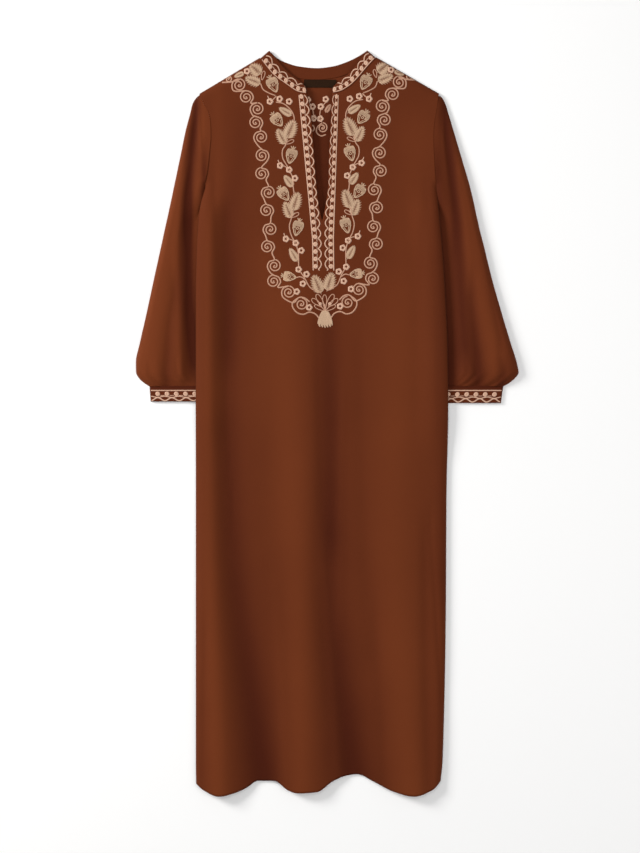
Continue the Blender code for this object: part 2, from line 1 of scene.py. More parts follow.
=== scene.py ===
"""Dress the long kaftan, laid flat with its front up, and set the floor, lights and camera.

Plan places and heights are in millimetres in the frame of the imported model: +X to the right
in the front view, +Y from the hem to the neck, +Z up from the surface that it lies on.
"""

import logging
import math
from collections import namedtuple
from dataclasses import dataclass, field
from enum import Enum
from functools import partial
from typing import Callable, Sequence

import bmesh
import bpy
import numpy as np
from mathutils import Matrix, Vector


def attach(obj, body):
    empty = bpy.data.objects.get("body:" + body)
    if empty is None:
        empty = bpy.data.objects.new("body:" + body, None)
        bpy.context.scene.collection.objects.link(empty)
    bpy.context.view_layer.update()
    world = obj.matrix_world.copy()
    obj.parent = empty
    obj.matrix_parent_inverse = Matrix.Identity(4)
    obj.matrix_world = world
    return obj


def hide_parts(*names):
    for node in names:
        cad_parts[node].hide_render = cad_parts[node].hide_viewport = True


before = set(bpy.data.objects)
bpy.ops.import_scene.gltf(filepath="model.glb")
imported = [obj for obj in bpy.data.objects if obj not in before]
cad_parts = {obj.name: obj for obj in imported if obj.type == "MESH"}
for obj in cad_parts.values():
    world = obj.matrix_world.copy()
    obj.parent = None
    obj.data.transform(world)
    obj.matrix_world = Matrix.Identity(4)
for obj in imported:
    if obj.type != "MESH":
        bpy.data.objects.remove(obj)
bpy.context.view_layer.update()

LOG = logging.getLogger("kaftan")
METRES = 0.001
BODY = "root"
# Vertex attribute of painted light and shade: low values paint shade in fold valleys, high values paint
# light on crests.
PAINTED_LIGHT_AND_SHADE = "painted_light_and_shade"

Array = np.ndarray
Places = Array
Heights = Callable[[Array, Array], Array]
Material = bpy.types.Material
Socket = bpy.types.NodeSocket
Piece = bpy.types.Object


class Side(Enum):
    """The two sides of the garment as the front view shows them."""

    LEFT = "left"
    RIGHT = "right"

    @property
    def sign(self) -> float:
        """Direction along X from the middle towards this side."""
        return -1.0 if self is Side.LEFT else 1.0


# Curves and shares

def ease(value: Array) -> Array:
    """Smooth step from 0 to 1.

    Args:
        value: Share that may run past either end.

    Returns:
        The eased share, kept from 0 to 1.
    """
    share = np.clip(value, 0.0, 1.0)
    return share * share * (3.0 - 2.0 * share)


def blend(start: Array, end: Array, share: Array) -> Array:
    """Value at a share of the way from start to end."""
    return start + (end - start) * share


def read_curve(keys: Sequence[float], values: Sequence[float], at: Array) -> Array:
    """Values of the smooth curve through some rows, which never overshoots them.

    Args:
        keys: Rising keys of the rows.
        values: Value of each row.
        at: Keys to read, kept between the first and the last row.

    Returns:
        The value at each key.
    """
    keys, values = np.asarray(keys, float), np.asarray(values, float)
    steps = np.diff(values) / np.diff(keys)
    before, after = steps[:-1], steps[1:]
    same = before * after > 0.0
    total = np.where(same, before + after, 1.0)
    inner = np.where(same, 2.0 * before * after / total, 0.0)
    slope = np.concatenate((steps[:1], inner, steps[-1:]))
    at = np.clip(np.asarray(at, float), keys[0], keys[-1])
    i = np.clip(np.searchsorted(keys, at, side="right") - 1, 0, len(keys) - 2)
    span = keys[i + 1] - keys[i]
    t = (at - keys[i]) / span
    start = (1 + 2 * t) * (1 - t) ** 2 * values[i] + t * (1 - t) ** 2 * span * slope[i]
    end = t * t * (3 - 2 * t) * values[i + 1] + t * t * (t - 1) * span * slope[i + 1]
    return start + end


def column(rows: Sequence[tuple], key: str, value: str, at: Array) -> Array:
    """Smooth value of one named column of a table at keys of another."""
    return read_curve([getattr(row, key) for row in rows], [getattr(row, value) for row in rows], at)


def span_distance(x: Array, y: Array, a: Sequence[float], b: Sequence[float]) -> Array:
    """Distance in plan from places to the straight line between two others."""
    along_x, along_y = b[0] - a[0], b[1] - a[1]
    share = ((x - a[0]) * along_x + (y - a[1]) * along_y) / (along_x ** 2 + along_y ** 2)
    share = np.clip(share, 0.0, 1.0)
    return np.hypot(x - a[0] - share * along_x, y - a[1] - share * along_y)


def polyline_distance(x: Array, y: Array, places: Sequence[Sequence[float]]) -> Array:
    """Distance in plan to the nearest of the straight lines through some places."""
    gaps = [span_distance(x, y, a, b) for a, b in zip(places, places[1:])]
    return np.min(gaps, axis=0)


def round_off(distance: Array, reach: float) -> Array:
    """Share of the full height at a distance from a rolled edge."""
    inward = 1.0 - np.clip(distance / reach, 0.0, 1.0)
    return np.sqrt(1.0 - inward * inward)


def run_along(path: Array) -> Array:
    """Distance in plan along a path, at each of its places."""
    return np.concatenate(([0.0], np.cumsum(np.hypot(*np.diff(path[:, :2], axis=0).T))))


def smooth_path(points: Sequence[Sequence[float]], step: float) -> Places:
    """Evenly spaced places on a smooth curve through some points.

    Args:
        points: Places that the curve passes through.
        step: Distance between the places returned.

    Returns:
        An array of x and y, one row for each place.
    """
    path = np.asarray(points, float)
    path = np.vstack((2 * path[0] - path[1], path, 2 * path[-1] - path[-2]))
    t = np.linspace(0.0, 1.0, 16, endpoint=False)[:, None]
    dense = [0.5 * (2 * p1 + (p2 - p0) * t + (2 * p0 - 5 * p1 + 4 * p2 - p3) * t ** 2
                    + (3 * p1 - p0 - 3 * p2 + p3) * t ** 3)
             for p0, p1, p2, p3 in zip(path, path[1:], path[2:], path[3:])]
    dense = np.vstack(dense + [path[-2:-1]])
    runs = run_along(dense)
    at = np.linspace(0.0, runs[-1], max(3, int(round(runs[-1] / step)) + 1))
    return np.column_stack([np.interp(at, runs, dense[:, i]) for i in (0, 1)])


# The cut and the way it lies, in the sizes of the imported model

Edge = namedtuple("Edge", "y left right")
Spot = namedtuple("Spot", "x y")
Crown = namedtuple("Crown", "y rise")
Crest = namedtuple("Crest", "y_top x_top y_mid x_mid y_low x_low half_top half_low rise_top rise_low")
Section = namedtuple("Section", "y outer rise inner flat", defaults=(None, 0))
Hoop = namedtuple("Hoop", "outer_x inner_x y")
Station = namedtuple("Station", "seam_x seam_y free_x free_y")


def rows(kind: type, *values: tuple) -> tuple:
    """Rows of a table of one kind."""
    return tuple(kind(*row) for row in values)


BODY_EDGES = rows(
    Edge, (-710, -248, 212), (-640, -249, 219), (-336, -249, 225), (-146, -249, 226), (25, -249, 229),
    (139, -249, 228), (234, -249, 224), (329, -247, 218), (395, -243, 212), (450, -232, 207),
    (481, -226, 204.5), (509, -223, 203), (536, -220.5, 202), (560, -221, 203), (581, -225, 206),
    (601, -234, 209), (625, -242, 212),
)
HEM = rows(
    Spot, (-252, -681), (-234, -696), (-205, -707), (-172, -700), (-152, -691), (-132, -679),
    (-100, -679), (-74, -696), (-57, -701), (-20, -699), (11, -679), (31, -670.5), (57, -666.5),
    (90, -681), (125, -698), (165, -707), (200, -695), (220, -672),
)
LEFT_TIP, LEFT_NECK = Spot(-242, 625), Spot(-128, 693)
RIGHT_NECK, RIGHT_TIP = Spot(93, 694), Spot(212, 625)
LEFT_NECKLINE = (LEFT_NECK, *rows(Spot, (-114, 674), (-101, 659), (-79, 643), (-54, 627.5), (-39, 625)))
RIGHT_NECKLINE = (*rows(Spot, (10, 626), (24, 629), (42, 639), (55, 651), (78, 678)), RIGHT_NECK)
BACK_NECKLINE = (
    LEFT_NECK, *rows(Spot, (-109, 676), (-90, 665), (-59, 656), (-20, 653), (11, 656), (43, 665), (70, 678)),
    RIGHT_NECK,
)
SLIT_EDGES = rows(
    Edge, (383, -9.5, -9.5), (415, -16, -3), (455, -20.5, 2), (500, -24, 3), (557, -28, 6), (595, -32, 8),
    (625, -39, 10),
)
BODY_CROWN = rows(Crown, (-710, 8.5), (-300, 7.5), (200, 6.5), (625, 6.0))
FRONT_FOLDS = rows(
    Crest, (360, -222, -100, -221, -700, -203, 14, 27, 2.5, 7.0),
    (380, -192, -146, -184, -700, -118, 17, 38, -2.5, -8.0),
    (220, -72, -200, -52, -700, -45, 42, 34, 2.0, 6.0), (200, 4, -300, 6, -700, 54, 24, 40, -2.5, -8.0),
    (230, 128, -200, 130, -700, 164, 60, 40, 2.0, 6.5),
    (-230, 186, -450, 187, -700, 193, 10, 12, -1.5, -2.0),
)
LEFT_SLEEVE_FOLDS = rows(
    Crest, (600, -249, 390, -263, 150, -256, 9, 15, -3.0, -3.5),
    (460, -284, 300, -306, 130, -330, 16, 22, 1.5, 3.0),
    (240, -290, 170, -300, 100, -303, 9, 12, -1.5, -3.0),
)
RIGHT_SLEEVE_FOLDS = rows(
    Crest, (580, 222, 380, 243, 150, 256, 9, 16, -3.0, -3.0),
    (470, 258, 300, 283, 130, 318, 16, 22, 1.5, 3.0), (230, 275, 170, 281, 100, 288, 9, 12, -1.5, -3.0),
)
LEFT_SECTIONS = rows(
    Section, (625, -238, 6.0), (618, -247.6, 6.0), (606, -255.2, 6.2), (587, -260, 6.4), (557, -268, 6.7),
    (511, -277.5, 7.0), (451.5, -290, 7.4, -231, 0), (425, -295.5, 7.6, -236.2, 0),
    (409, -299, 7.7, -239.2, 2), (395, -302, 7.8, -240.6, 6), (384, -304.5, 7.9, -240.8, 9),
    (366, -308.5, 8.0, -239, 14), (345, -313, 8.2, -235.5, 18), (272, -329, 8.6, -235, 19),
    (207, -343, 9.2, -235, 19), (152, -355.5, 10.0, -234.5, 20), (115, -363, 10.5, -233.5, 20),
    (96, -362.5, 10.0, -232.5, 21), (84, -356, 8.0, -231.5, 21), (76, -347, 5.0, -231, 22),
    (69.6, -337, 1.8, -230, 22),
)
RIGHT_SECTIONS = rows(
    Section, (625, 210, 6.0), (618, 217.4, 6.0), (606, 224, 6.2), (587, 230, 6.4), (557, 239, 6.7),
    (511, 252.5, 7.0), (451.5, 270, 7.4, 206, 0), (425, 276.5, 7.6, 208, 0), (409, 280, 7.7, 209.2, 2),
    (395, 283, 7.8, 210.2, 6), (384, 285.5, 7.9, 210.4, 8), (366, 289.5, 8.0, 210.5, 12),
    (345, 295, 8.2, 209, 15), (272, 313, 8.6, 214, 16), (207, 331.5, 9.2, 216.5, 17),
    (152, 348, 10.0, 219, 16), (115, 359.5, 10.5, 221, 15), (96, 363, 10.0, 222.5, 14),
    (84, 355, 8.0, 223.5, 13), (76, 345, 5.0, 224.3, 12), (69.6, 334, 1.8, 225, 10),
)
LEFT_CUFF = rows(Hoop, (-336.7, -230, 70.4), (-335.6, -230.2, 55), (-334.6, -230.6, 40.8))
RIGHT_CUFF = rows(Hoop, (333.8, 225, 70.4), (331.4, 225.2, 54), (329.2, 225.6, 38.0))
COLLAR_LEFT = rows(
    Station, (-39, 625, -41, 637.5), (-54, 627.5, -49.5, 646.5), (-67, 635.5, -59.5, 655),
    (-79, 643, -71, 663.5), (-101, 659, -86.5, 679.5), (-114, 674, -98, 693), (-127, 692, -110, 706.5),
)
COLLAR_BACK = rows(
    Station, (-127, 692, -110, 706.5), (-109, 676, -95, 693), (-90, 665, -80, 685), (-59, 656, -52, 677),
    (-20, 653, -19, 674), (11, 656, 9, 677), (43, 665, 38, 686), (70, 678, 57, 695), (92, 693, 76, 707),
)
COLLAR_RIGHT = rows(
    Station, (92, 693, 76, 707), (78, 678, 65, 692), (55, 651, 46.5, 668.5), (42, 639, 33, 656),
    (24, 629, 20, 646.5), (10, 626, 11, 637.5),
)
LEFT_SLEEVE_CREASES = rows(
    Crest, (560, -243, 520, -240, 470, -238, 4.0, 5.0, 0.9, 0.5),
    (500, -262, 420, -278, 330, -288, 6.0, 7.0, 0.6, 0.9),
    (330, -325, 240, -338, 160, -348, 5.0, 7.0, -0.6, -0.8),
    (300, -268, 200, -274, 120, -276, 6.0, 7.0, 0.7, 1.0),
)
RIGHT_SLEEVE_CREASES = rows(
    Crest, (540, 220, 480, 226, 420, 234, 4.0, 6.0, 0.8, 0.6),
    (450, 250, 380, 262, 300, 270, 6.0, 7.0, 0.6, 0.8),
    (320, 300, 240, 312, 160, 328, 5.0, 7.0, -0.6, -0.8),
    (300, 246, 200, 250, 120, 256, 6.0, 7.0, 0.7, 1.0),
)
# Soft patches of painted shade (below zero) and painted light (above zero) on each sleeve.
LEFT_SLEEVE_PAINTED_SHADES = rows(
    Crest, (590, -248, 480, -262, 400, -266, 9, 10, -0.32, -0.34),
    (400, -266, 250, -268, 130, -250, 10, 16, -0.34, -0.50),
    (560, -236, 500, -234, 470, -234, 6, 6, 0.16, 0.06),
    (470, -233, 455, -232, 440, -234, 7, 7, -0.55, -0.55),
    (430, -248, 300, -248, 190, -240, 8, 8, 0.14, 0.10),
    (420, -300, 240, -322, 120, -330, 22, 24, 0.10, 0.14),
)
RIGHT_SLEEVE_PAINTED_SHADES = rows(
    Crest, (470, 208, 300, 216, 60, 228, 10, 20, -0.30, -0.50),
    (590, 226, 480, 240, 380, 250, 8, 10, -0.14, -0.14), (130, 326, 100, 334, 74, 330, 8, 10, 0.0, -0.40),
)


@dataclass(frozen=True)
class Lay:
    """How the garment lies: its levels, walls and the heights of its layers."""

    cloth: float = 1.5
    band: float = 1.8
    seam: float = 0.3
    turn: float = 0.9
    band_turn: float = 1.05
    roll: float = 15.0
    outer_roll: float = 12.0
    hem_level: float = -686.0
    armpit_level: float = 450.0
    top_level: float = 625.0
    slit_end: Spot = Spot(-9.5, 383.0)
    hem_reach: float = 260.0
    top_reach: float = 350.0
    lift: float = 5.6
    lift_flat: float = 22.0
    lift_reach: float = 62.0
    raise_low: float = -90.0
    raise_high: float = 28.0
    lower_low: float = 388.0
    lower_high: float = 448.0
    fold_fade: float = 90.0
    least_rise: float = 0.4

    def body_edge(self, side: Side, y: Array) -> Array:
        """X of a side seam, or of the armhole above the armpit, at a level."""
        return column(BODY_EDGES, "y", side.value, y)

    def hem_line(self, x: Array) -> Array:
        """Y of the front hem."""
        return column(HEM, "x", "y", x)

    def shoulder_line(self, x: Array) -> Array:
        """Y of the nearer shoulder seam, carried on straight past the neck point."""
        left_share = (x - LEFT_TIP.x) / (LEFT_NECK.x - LEFT_TIP.x)
        right_share = (x - RIGHT_TIP.x) / (RIGHT_NECK.x - RIGHT_TIP.x)
        left = blend(LEFT_TIP.y, LEFT_NECK.y, left_share)
        right = blend(RIGHT_TIP.y, RIGHT_NECK.y, right_share)
        return np.where(x < LEFT_NECK.x, left, right)

    def front_top(self, x: Array) -> Array:
        """Y of the front's top line: shoulder seams and neckline."""
        left = column(LEFT_NECKLINE, "x", "y", x)
        right = column(RIGHT_NECKLINE, "x", "y", x)
        neckline = np.where(x < self.slit_end.x, left, right)
        return np.where((x < LEFT_NECK.x) | (x > RIGHT_NECK.x), self.shoulder_line(x), neckline)

    def back_top(self, x: Array) -> Array:
        """Y of the back's top line."""
        neckline = column(BACK_NECKLINE, "x", "y", x)
        return np.where((x < LEFT_NECK.x) | (x > RIGHT_NECK.x), self.shoulder_line(x), neckline)

    def panel_place(self, level: Array, x: Array, top: Callable, shorter: float = 0.0) -> tuple:
        """Plan place of a panel's point, moved from its level towards the hem or top line.

        Args:
            level: Level of the point's row before it is moved.
            x: X of the point.
            top: Top line of the panel.
            shorter: How far the panel's hem stays short of the front's.

        Returns:
            X and Y of the point.
        """
        hem_share = np.clip(1.0 - (level - self.hem_level) / self.hem_reach, 0.0, 1.0) ** 2
        top_share = np.clip(1.0 - (self.top_level - level) / self.top_reach, 0.0, 1.0) ** 2
        y = level + hem_share * (self.hem_line(x) + shorter - self.hem_level)
        return x, y + top_share * (top(x) - self.top_level)

    def side_distance(self, x: Array, y: Array) -> Array:
        """Distance to the nearer side seam, or to its armpit end from above."""
        level = np.minimum(y, self.armpit_level)
        gap = np.minimum(x - self.body_edge(Side.LEFT, level), self.body_edge(Side.RIGHT, level) - x)
        return np.hypot(np.maximum(0.0, gap), y - level)

    def rolled_distance(self, x: Array, y: Array) -> Array:
        """Distance to the nearest edge at which the front is joined to the back."""
        left = span_distance(x, y, LEFT_TIP, LEFT_NECK)
        right = span_distance(x, y, RIGHT_TIP, RIGHT_NECK)
        return np.minimum(self.side_distance(x, y), np.minimum(left, right))

    def fold_rise(self, folds: Sequence[Crest], x: Array, y: Array) -> Array:
        """Height that ridges add and valleys take away.

        Args:
            folds: Rows of a table of folds.
            x: X of the places.
            y: Y of the places.

        Returns:
            The rise at each place, below zero in a valley.
        """
        total = np.zeros(np.broadcast(x, y).shape)
        for fold in folds:
            level = np.clip(y, fold.y_low, fold.y_top)
            share = (fold.y_top - level) / (fold.y_top - fold.y_low)
            centre = read_curve((fold.y_low, fold.y_mid, fold.y_top),
                                (fold.x_low, fold.x_mid, fold.x_top), level)
            half = blend(fold.half_top, fold.half_low, share)
            rise = blend(fold.rise_top, fold.rise_low, share)
            fade = ease(1.0 - np.abs(y - level) / self.fold_fade)
            total = total + rise * fade * np.exp(-((x - centre) / half) ** 2)
        return total

    def side_lift(self, x: Array, y: Array) -> Array:
        """How far the body is raised over the inner edges of the sleeves."""
        rising = ease((y - self.raise_low) / (self.raise_high - self.raise_low))
        ending = ease((self.lower_high - y) / (self.lower_high - self.lower_low))
        inward = ease((self.lift_reach - self.side_distance(x, y)) / (self.lift_reach - self.lift_flat))
        return self.lift * rising * ending * inward

    def back_height(self, x: Array, y: Array) -> Array:
        """Middle of the back panel's wall."""
        return self.cloth / 2 + self.side_lift(x, y)

    def front_height(self, x: Array, y: Array) -> Array:
        """Middle of the front panel's wall, without its small creases."""
        rise = column(BODY_CROWN, "y", "rise", y) + self.fold_rise(FRONT_FOLDS, x, y)
        rise = np.maximum(self.least_rise, rise)
        rolled = round_off(self.rolled_distance(x, y), self.roll)
        return self.back_height(x, y) + self.cloth + self.seam + rise * rolled


LAY = Lay()


# Finishes

class Shading:
    """A material's node tree, with short ways to add nodes to it."""

    def __init__(self, name: str, roughness: float, specular: float, sheen: float = 0.0) -> None:
        """Start a material.

        Args:
            name: Name of the material.
            roughness: Roughness of its surface.
            specular: Strength of its plain reflection.
            sheen: Strength of its soft fibre sheen.
        """
        self.material = bpy.data.materials.new(name)
        self.material.use_nodes = True
        self.tree = self.material.node_tree
        self.shader = self.tree.nodes["Principled BSDF"]
        self.shader.inputs["Roughness"].default_value = roughness
        self.shader.inputs["Specular IOR Level"].default_value = specular
        self.shader.inputs["Sheen Weight"].default_value = sheen
        self.shader.inputs["Sheen Roughness"].default_value = 0.45

    def add(self, kind: str, **inputs: object) -> bpy.types.Node:
        """Add a node and set or link its inputs.

        Args:
            kind: Type of the node, without its prefix.
            inputs: Values or output sockets by input name, with _ for a space.

        Returns:
            The node.
        """
        node = self.tree.nodes.new("ShaderNode" + kind)
        for name, value in inputs.items():
            socket = node.inputs[name.replace("_", " ")]
            if isinstance(value, Socket):
                self.tree.links.new(value, socket)
            else:
                socket.default_value = value
        return node

    def place(self) -> Socket:
        """Position on the object itself, in metres."""
        return self.add("TexCoord").outputs["Object"]

    def noise(self, where: Socket, scale: float, detail: float) -> Socket:
        """Soft noise from 0 to 1."""
        return self.add("TexNoise", Vector=where, Scale=scale, Detail=detail).outputs["Fac"]

    def ribs(self, where: Socket, pitch: float, way: str, distortion: float) -> Socket:
        """Even ribs from 0 to 1.

        Args:
            where: Coordinates to lay them out in.
            pitch: Distance between ribs along a coordinate.
            way: Direction of the bands.
            distortion: How far they wander.

        Returns:
            The socket with the ribs.
        """
        turns = 10.0 if way == "DIAGONAL" else 20.0
        scale = 2.0 * math.pi / turns / pitch
        node = self.add("TexWave", Vector=where, Scale=scale, Distortion=distortion, Detail=1.0)
        node.bands_direction = way
        return node.outputs["Fac"]

    def total(self, first: Socket, times: float, second: Socket) -> Socket:
        """First times a number, plus second."""
        node = self.add("Math")
        node.operation = "MULTIPLY_ADD"
        node.inputs[1].default_value = times
        self.tree.links.new(first, node.inputs[0])
        self.tree.links.new(second, node.inputs[2])
        return node.outputs[0]

    def colour(self, share: Socket, least: float, deep: tuple, lit: tuple) -> None:
        """Colour the surface between two tones.

        Args:
            share: Socket that picks the tone, 1 at the lit tone.
            least: Its value at the deep tone.
            deep: Linear colour of the deep tone.
            lit: Linear colour of the lit tone.
        """
        ramp = self.add("ValToRGB", Fac=share)
        for stop, position, tone in zip(ramp.color_ramp.elements, (least, 1.0), (deep, lit)):
            stop.position = position
            stop.color = (*tone, 1.0)
        self.tree.links.new(ramp.outputs["Color"], self.shader.inputs["Base Color"])

    def relief(self, height: Socket, strength: float, depth: float) -> None:
        """Raise the surface by a height from 0 to 1 times a depth in metres."""
        bump = self.add("Bump", Height=height, Strength=strength, Distance=depth)
        self.tree.links.new(bump.outputs["Normal"], self.shader.inputs["Normal"])


@dataclass(frozen=True)
class TwillFinish:
    """Soft brown viscose twill with a low sheen and a fine diagonal weave."""

    name: str
    # Lit and deep: the cloth's colour in painted light and in painted shade.
    lit: tuple = (0.150, 0.0325, 0.0085)
    deep: tuple = (0.060, 0.0092, 0.0024)
    least_tone: float = 0.16
    cloud_share: float = 0.18
    slub_share: float = 0.14
    rib_pitch: float = 1.1
    weave_depth: float = 0.00012

    def make(self) -> Material:
        """Build the material, with painted shade in the folds and painted light on the crests, and its weave
        in the cloth's own plane.
        """
        shading = Shading(self.name, roughness=0.78, specular=0.08, sheen=0.05)
        shading.shader.inputs["Sheen Tint"].default_value = (1.0, 0.55, 0.35, 1.0)
        place = shading.place()
        slub, cloud = (shading.noise(place, scale, 3.0) for scale in (420.0, 6.0))
        # Painted light and shade read from the mesh, with random slub and cloud tone added.
        fold = shading.add("Attribute")
        fold.attribute_name = PAINTED_LIGHT_AND_SHADE
        tone = shading.total(slub, self.slub_share, fold.outputs["Fac"])
        tone = shading.total(cloud, self.cloud_share, tone)
        shading.colour(tone, self.least_tone, self.deep, self.lit)
        ribs = shading.ribs(place, self.rib_pitch * METRES, "DIAGONAL", 0.6)
        shading.relief(shading.total(slub, 0.6, ribs), 0.5, self.weave_depth)
        return shading.material


@dataclass(frozen=True)
class ThreadFinish:
    """Matte embroidery thread whose stitches lie across each stroke."""

    name: str
    # Pale and shade: the thread's colour in painted light and in painted shade.
    pale: tuple
    shade: tuple
    stitch_pitch: float = 0.9
    stitch_depth: float = 0.00022

    def make(self) -> Material:
        """Build the material from stitches laid out by the stroke's own length in millimetres, with painted
        shade between them.
        """
        shading = Shading(self.name, roughness=0.6, specular=0.3, sheen=0.1)
        layout = shading.add("UVMap")
        layout.uv_map = "stroke"
        stitches = shading.ribs(layout.outputs["UV"], self.stitch_pitch, "DIAGONAL", 0.8)
        fibres = shading.noise(shading.place(), 900.0, 2.0)
        # Painted shade in the grooves between stitches and painted light on their crests, with random fibre
        # tone.
        shading.colour(shading.total(fibres, 0.7, stitches), 0.15, self.shade, self.pale)
        shading.relief(stitches, 0.6, self.stitch_depth)
        return shading.material


@dataclass(frozen=True)
class RibbonFinish:
    """Plain dark woven ribbon with fine cross ribs."""

    name: str = "label_ribbon"
    lit: tuple = (0.030, 0.0135, 0.0065)
    deep: tuple = (0.012, 0.006, 0.003)
    rib_pitch: float = 0.7
    rib_depth: float = 0.0001

    def make(self) -> Material:
        """Build the ribbon's material."""
        shading = Shading(self.name, roughness=0.85, specular=0.03)
        place = shading.place()
        ribs = shading.ribs(place, self.rib_pitch * METRES, "Y", 0.2)
        tone = shading.total(shading.noise(place, 260.0, 2.0), 0.8, ribs)
        shading.colour(tone, 0.3, self.deep, self.lit)
        shading.relief(ribs, 0.5, self.rib_depth)
        return shading.material


@dataclass(frozen=True)
class FloorFinish:
    """Plain pale studio floor."""

    name: str = "pale_floor"
    shade: float = 0.97

    def make(self) -> Material:
        """Build the floor's material."""
        shading = Shading(self.name, roughness=0.9, specular=0.2)
        shading.shader.inputs["Base Color"].default_value = (*[self.shade] * 3, 1.0)
        return shading.material


# Making pieces

def add_piece(name: str, data: bpy.types.Mesh, material: Material) -> Piece:
    """Link a mesh as a piece that rides on the garment and takes a finish."""
    data.materials.append(material)
    data.shade_smooth()
    piece = bpy.data.objects.new(name, data)
    bpy.context.scene.collection.objects.link(piece)
    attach(piece, BODY)
    LOG.info("made %s, %d faces", name, len(data.polygons))
    return piece


def store_painted_shading(data: bpy.types.Mesh, tone: Heights) -> bpy.types.Mesh:
    """Store on each vertex its painted light and shade, from 0 in deep folds to 1 on crests.

    Args:
        data: Mesh in metres.
        tone: Painted light and shade at X and Y in millimetres.

    Returns:
        The same mesh.
    """
    places = np.empty(3 * len(data.vertices))
    data.vertices.foreach_get("co", places)
    places = places.reshape(-1, 3) / METRES
    layer = data.attributes.new(PAINTED_LIGHT_AND_SHADE, "FLOAT", "POINT")
    layer.data.foreach_set("value", np.clip(tone(places[:, 0], places[:, 1]), 0.0, 1.0))
    return data


def grid_mesh(name: str, grids: Sequence[Array], wall: float) -> bpy.types.Mesh:
    """Thin closed shell on one or more grids of points, sewn where they meet.

    Args:
        name: Name of the mesh.
        grids: Arrays of points, by row, column and coordinate, in millimetres.
        wall: Thickness of the cloth in millimetres.

    Returns:
        The mesh, in metres.
    """
    middle = bmesh.new()
    for grid in grids:
        verts = [[middle.verts.new(Vector(point) * METRES) for point in row] for row in grid]
        for low, high in zip(verts, verts[1:]):
            for i in range(len(low) - 1):
                middle.faces.new((low[i], low[i + 1], high[i + 1], high[i]))
    bmesh.ops.remove_doubles(middle, verts=middle.verts, dist=0.001 * METRES)
    bmesh.ops.recalc_face_normals(middle, faces=middle.faces)
    middle.normal_update()
    middle.verts.index_update()
    solid = bmesh.new()
    half = wall * METRES / 2
    outer = [solid.verts.new(vert.co + vert.normal * half) for vert in middle.verts]
    inner = [solid.verts.new(vert.co - vert.normal * half) for vert in middle.verts]
    for face in middle.faces:
        corners = [vert.index for vert in face.verts]
        solid.faces.new([outer[i] for i in corners])
        solid.faces.new([inner[i] for i in reversed(corners)])
    for edge in middle.edges:
        if edge.is_boundary:
            loop = next(loop for loop in edge.link_faces[0].loops if loop.edge == edge)
            a, b = loop.vert.index, loop.link_loop_next.vert.index
            solid.faces.new((outer[b], outer[a], inner[a], inner[b]))
    bmesh.ops.recalc_face_normals(solid, faces=solid.faces)
    data = bpy.data.meshes.new(name)
    solid.to_mesh(data)
    solid.free()
    middle.free()
    return data


def add_cloth(name: str, node: str, grids: Sequence[Array], wall: float, tone: Heights,
              finish: Material) -> Piece:
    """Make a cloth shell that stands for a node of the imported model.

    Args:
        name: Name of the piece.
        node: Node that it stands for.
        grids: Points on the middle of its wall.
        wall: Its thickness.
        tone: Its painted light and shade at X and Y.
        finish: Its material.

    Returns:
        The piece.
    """
    piece = add_piece(name, store_painted_shading(grid_mesh(name, grids, wall), tone), finish)
    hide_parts(node)
    return piece


def clustered(count: int, edge: float) -> Array:
    """Shares from 0 to 1, closer together near 0.

    Args:
        count: Number of shares.
        edge: How strongly they gather near 0, from 0 to 1.

    Returns:
        The shares.
    """
    even = np.linspace(0.0, 1.0, count)
    return blend(even, 1.0 - np.cos(even * np.pi / 2), edge)


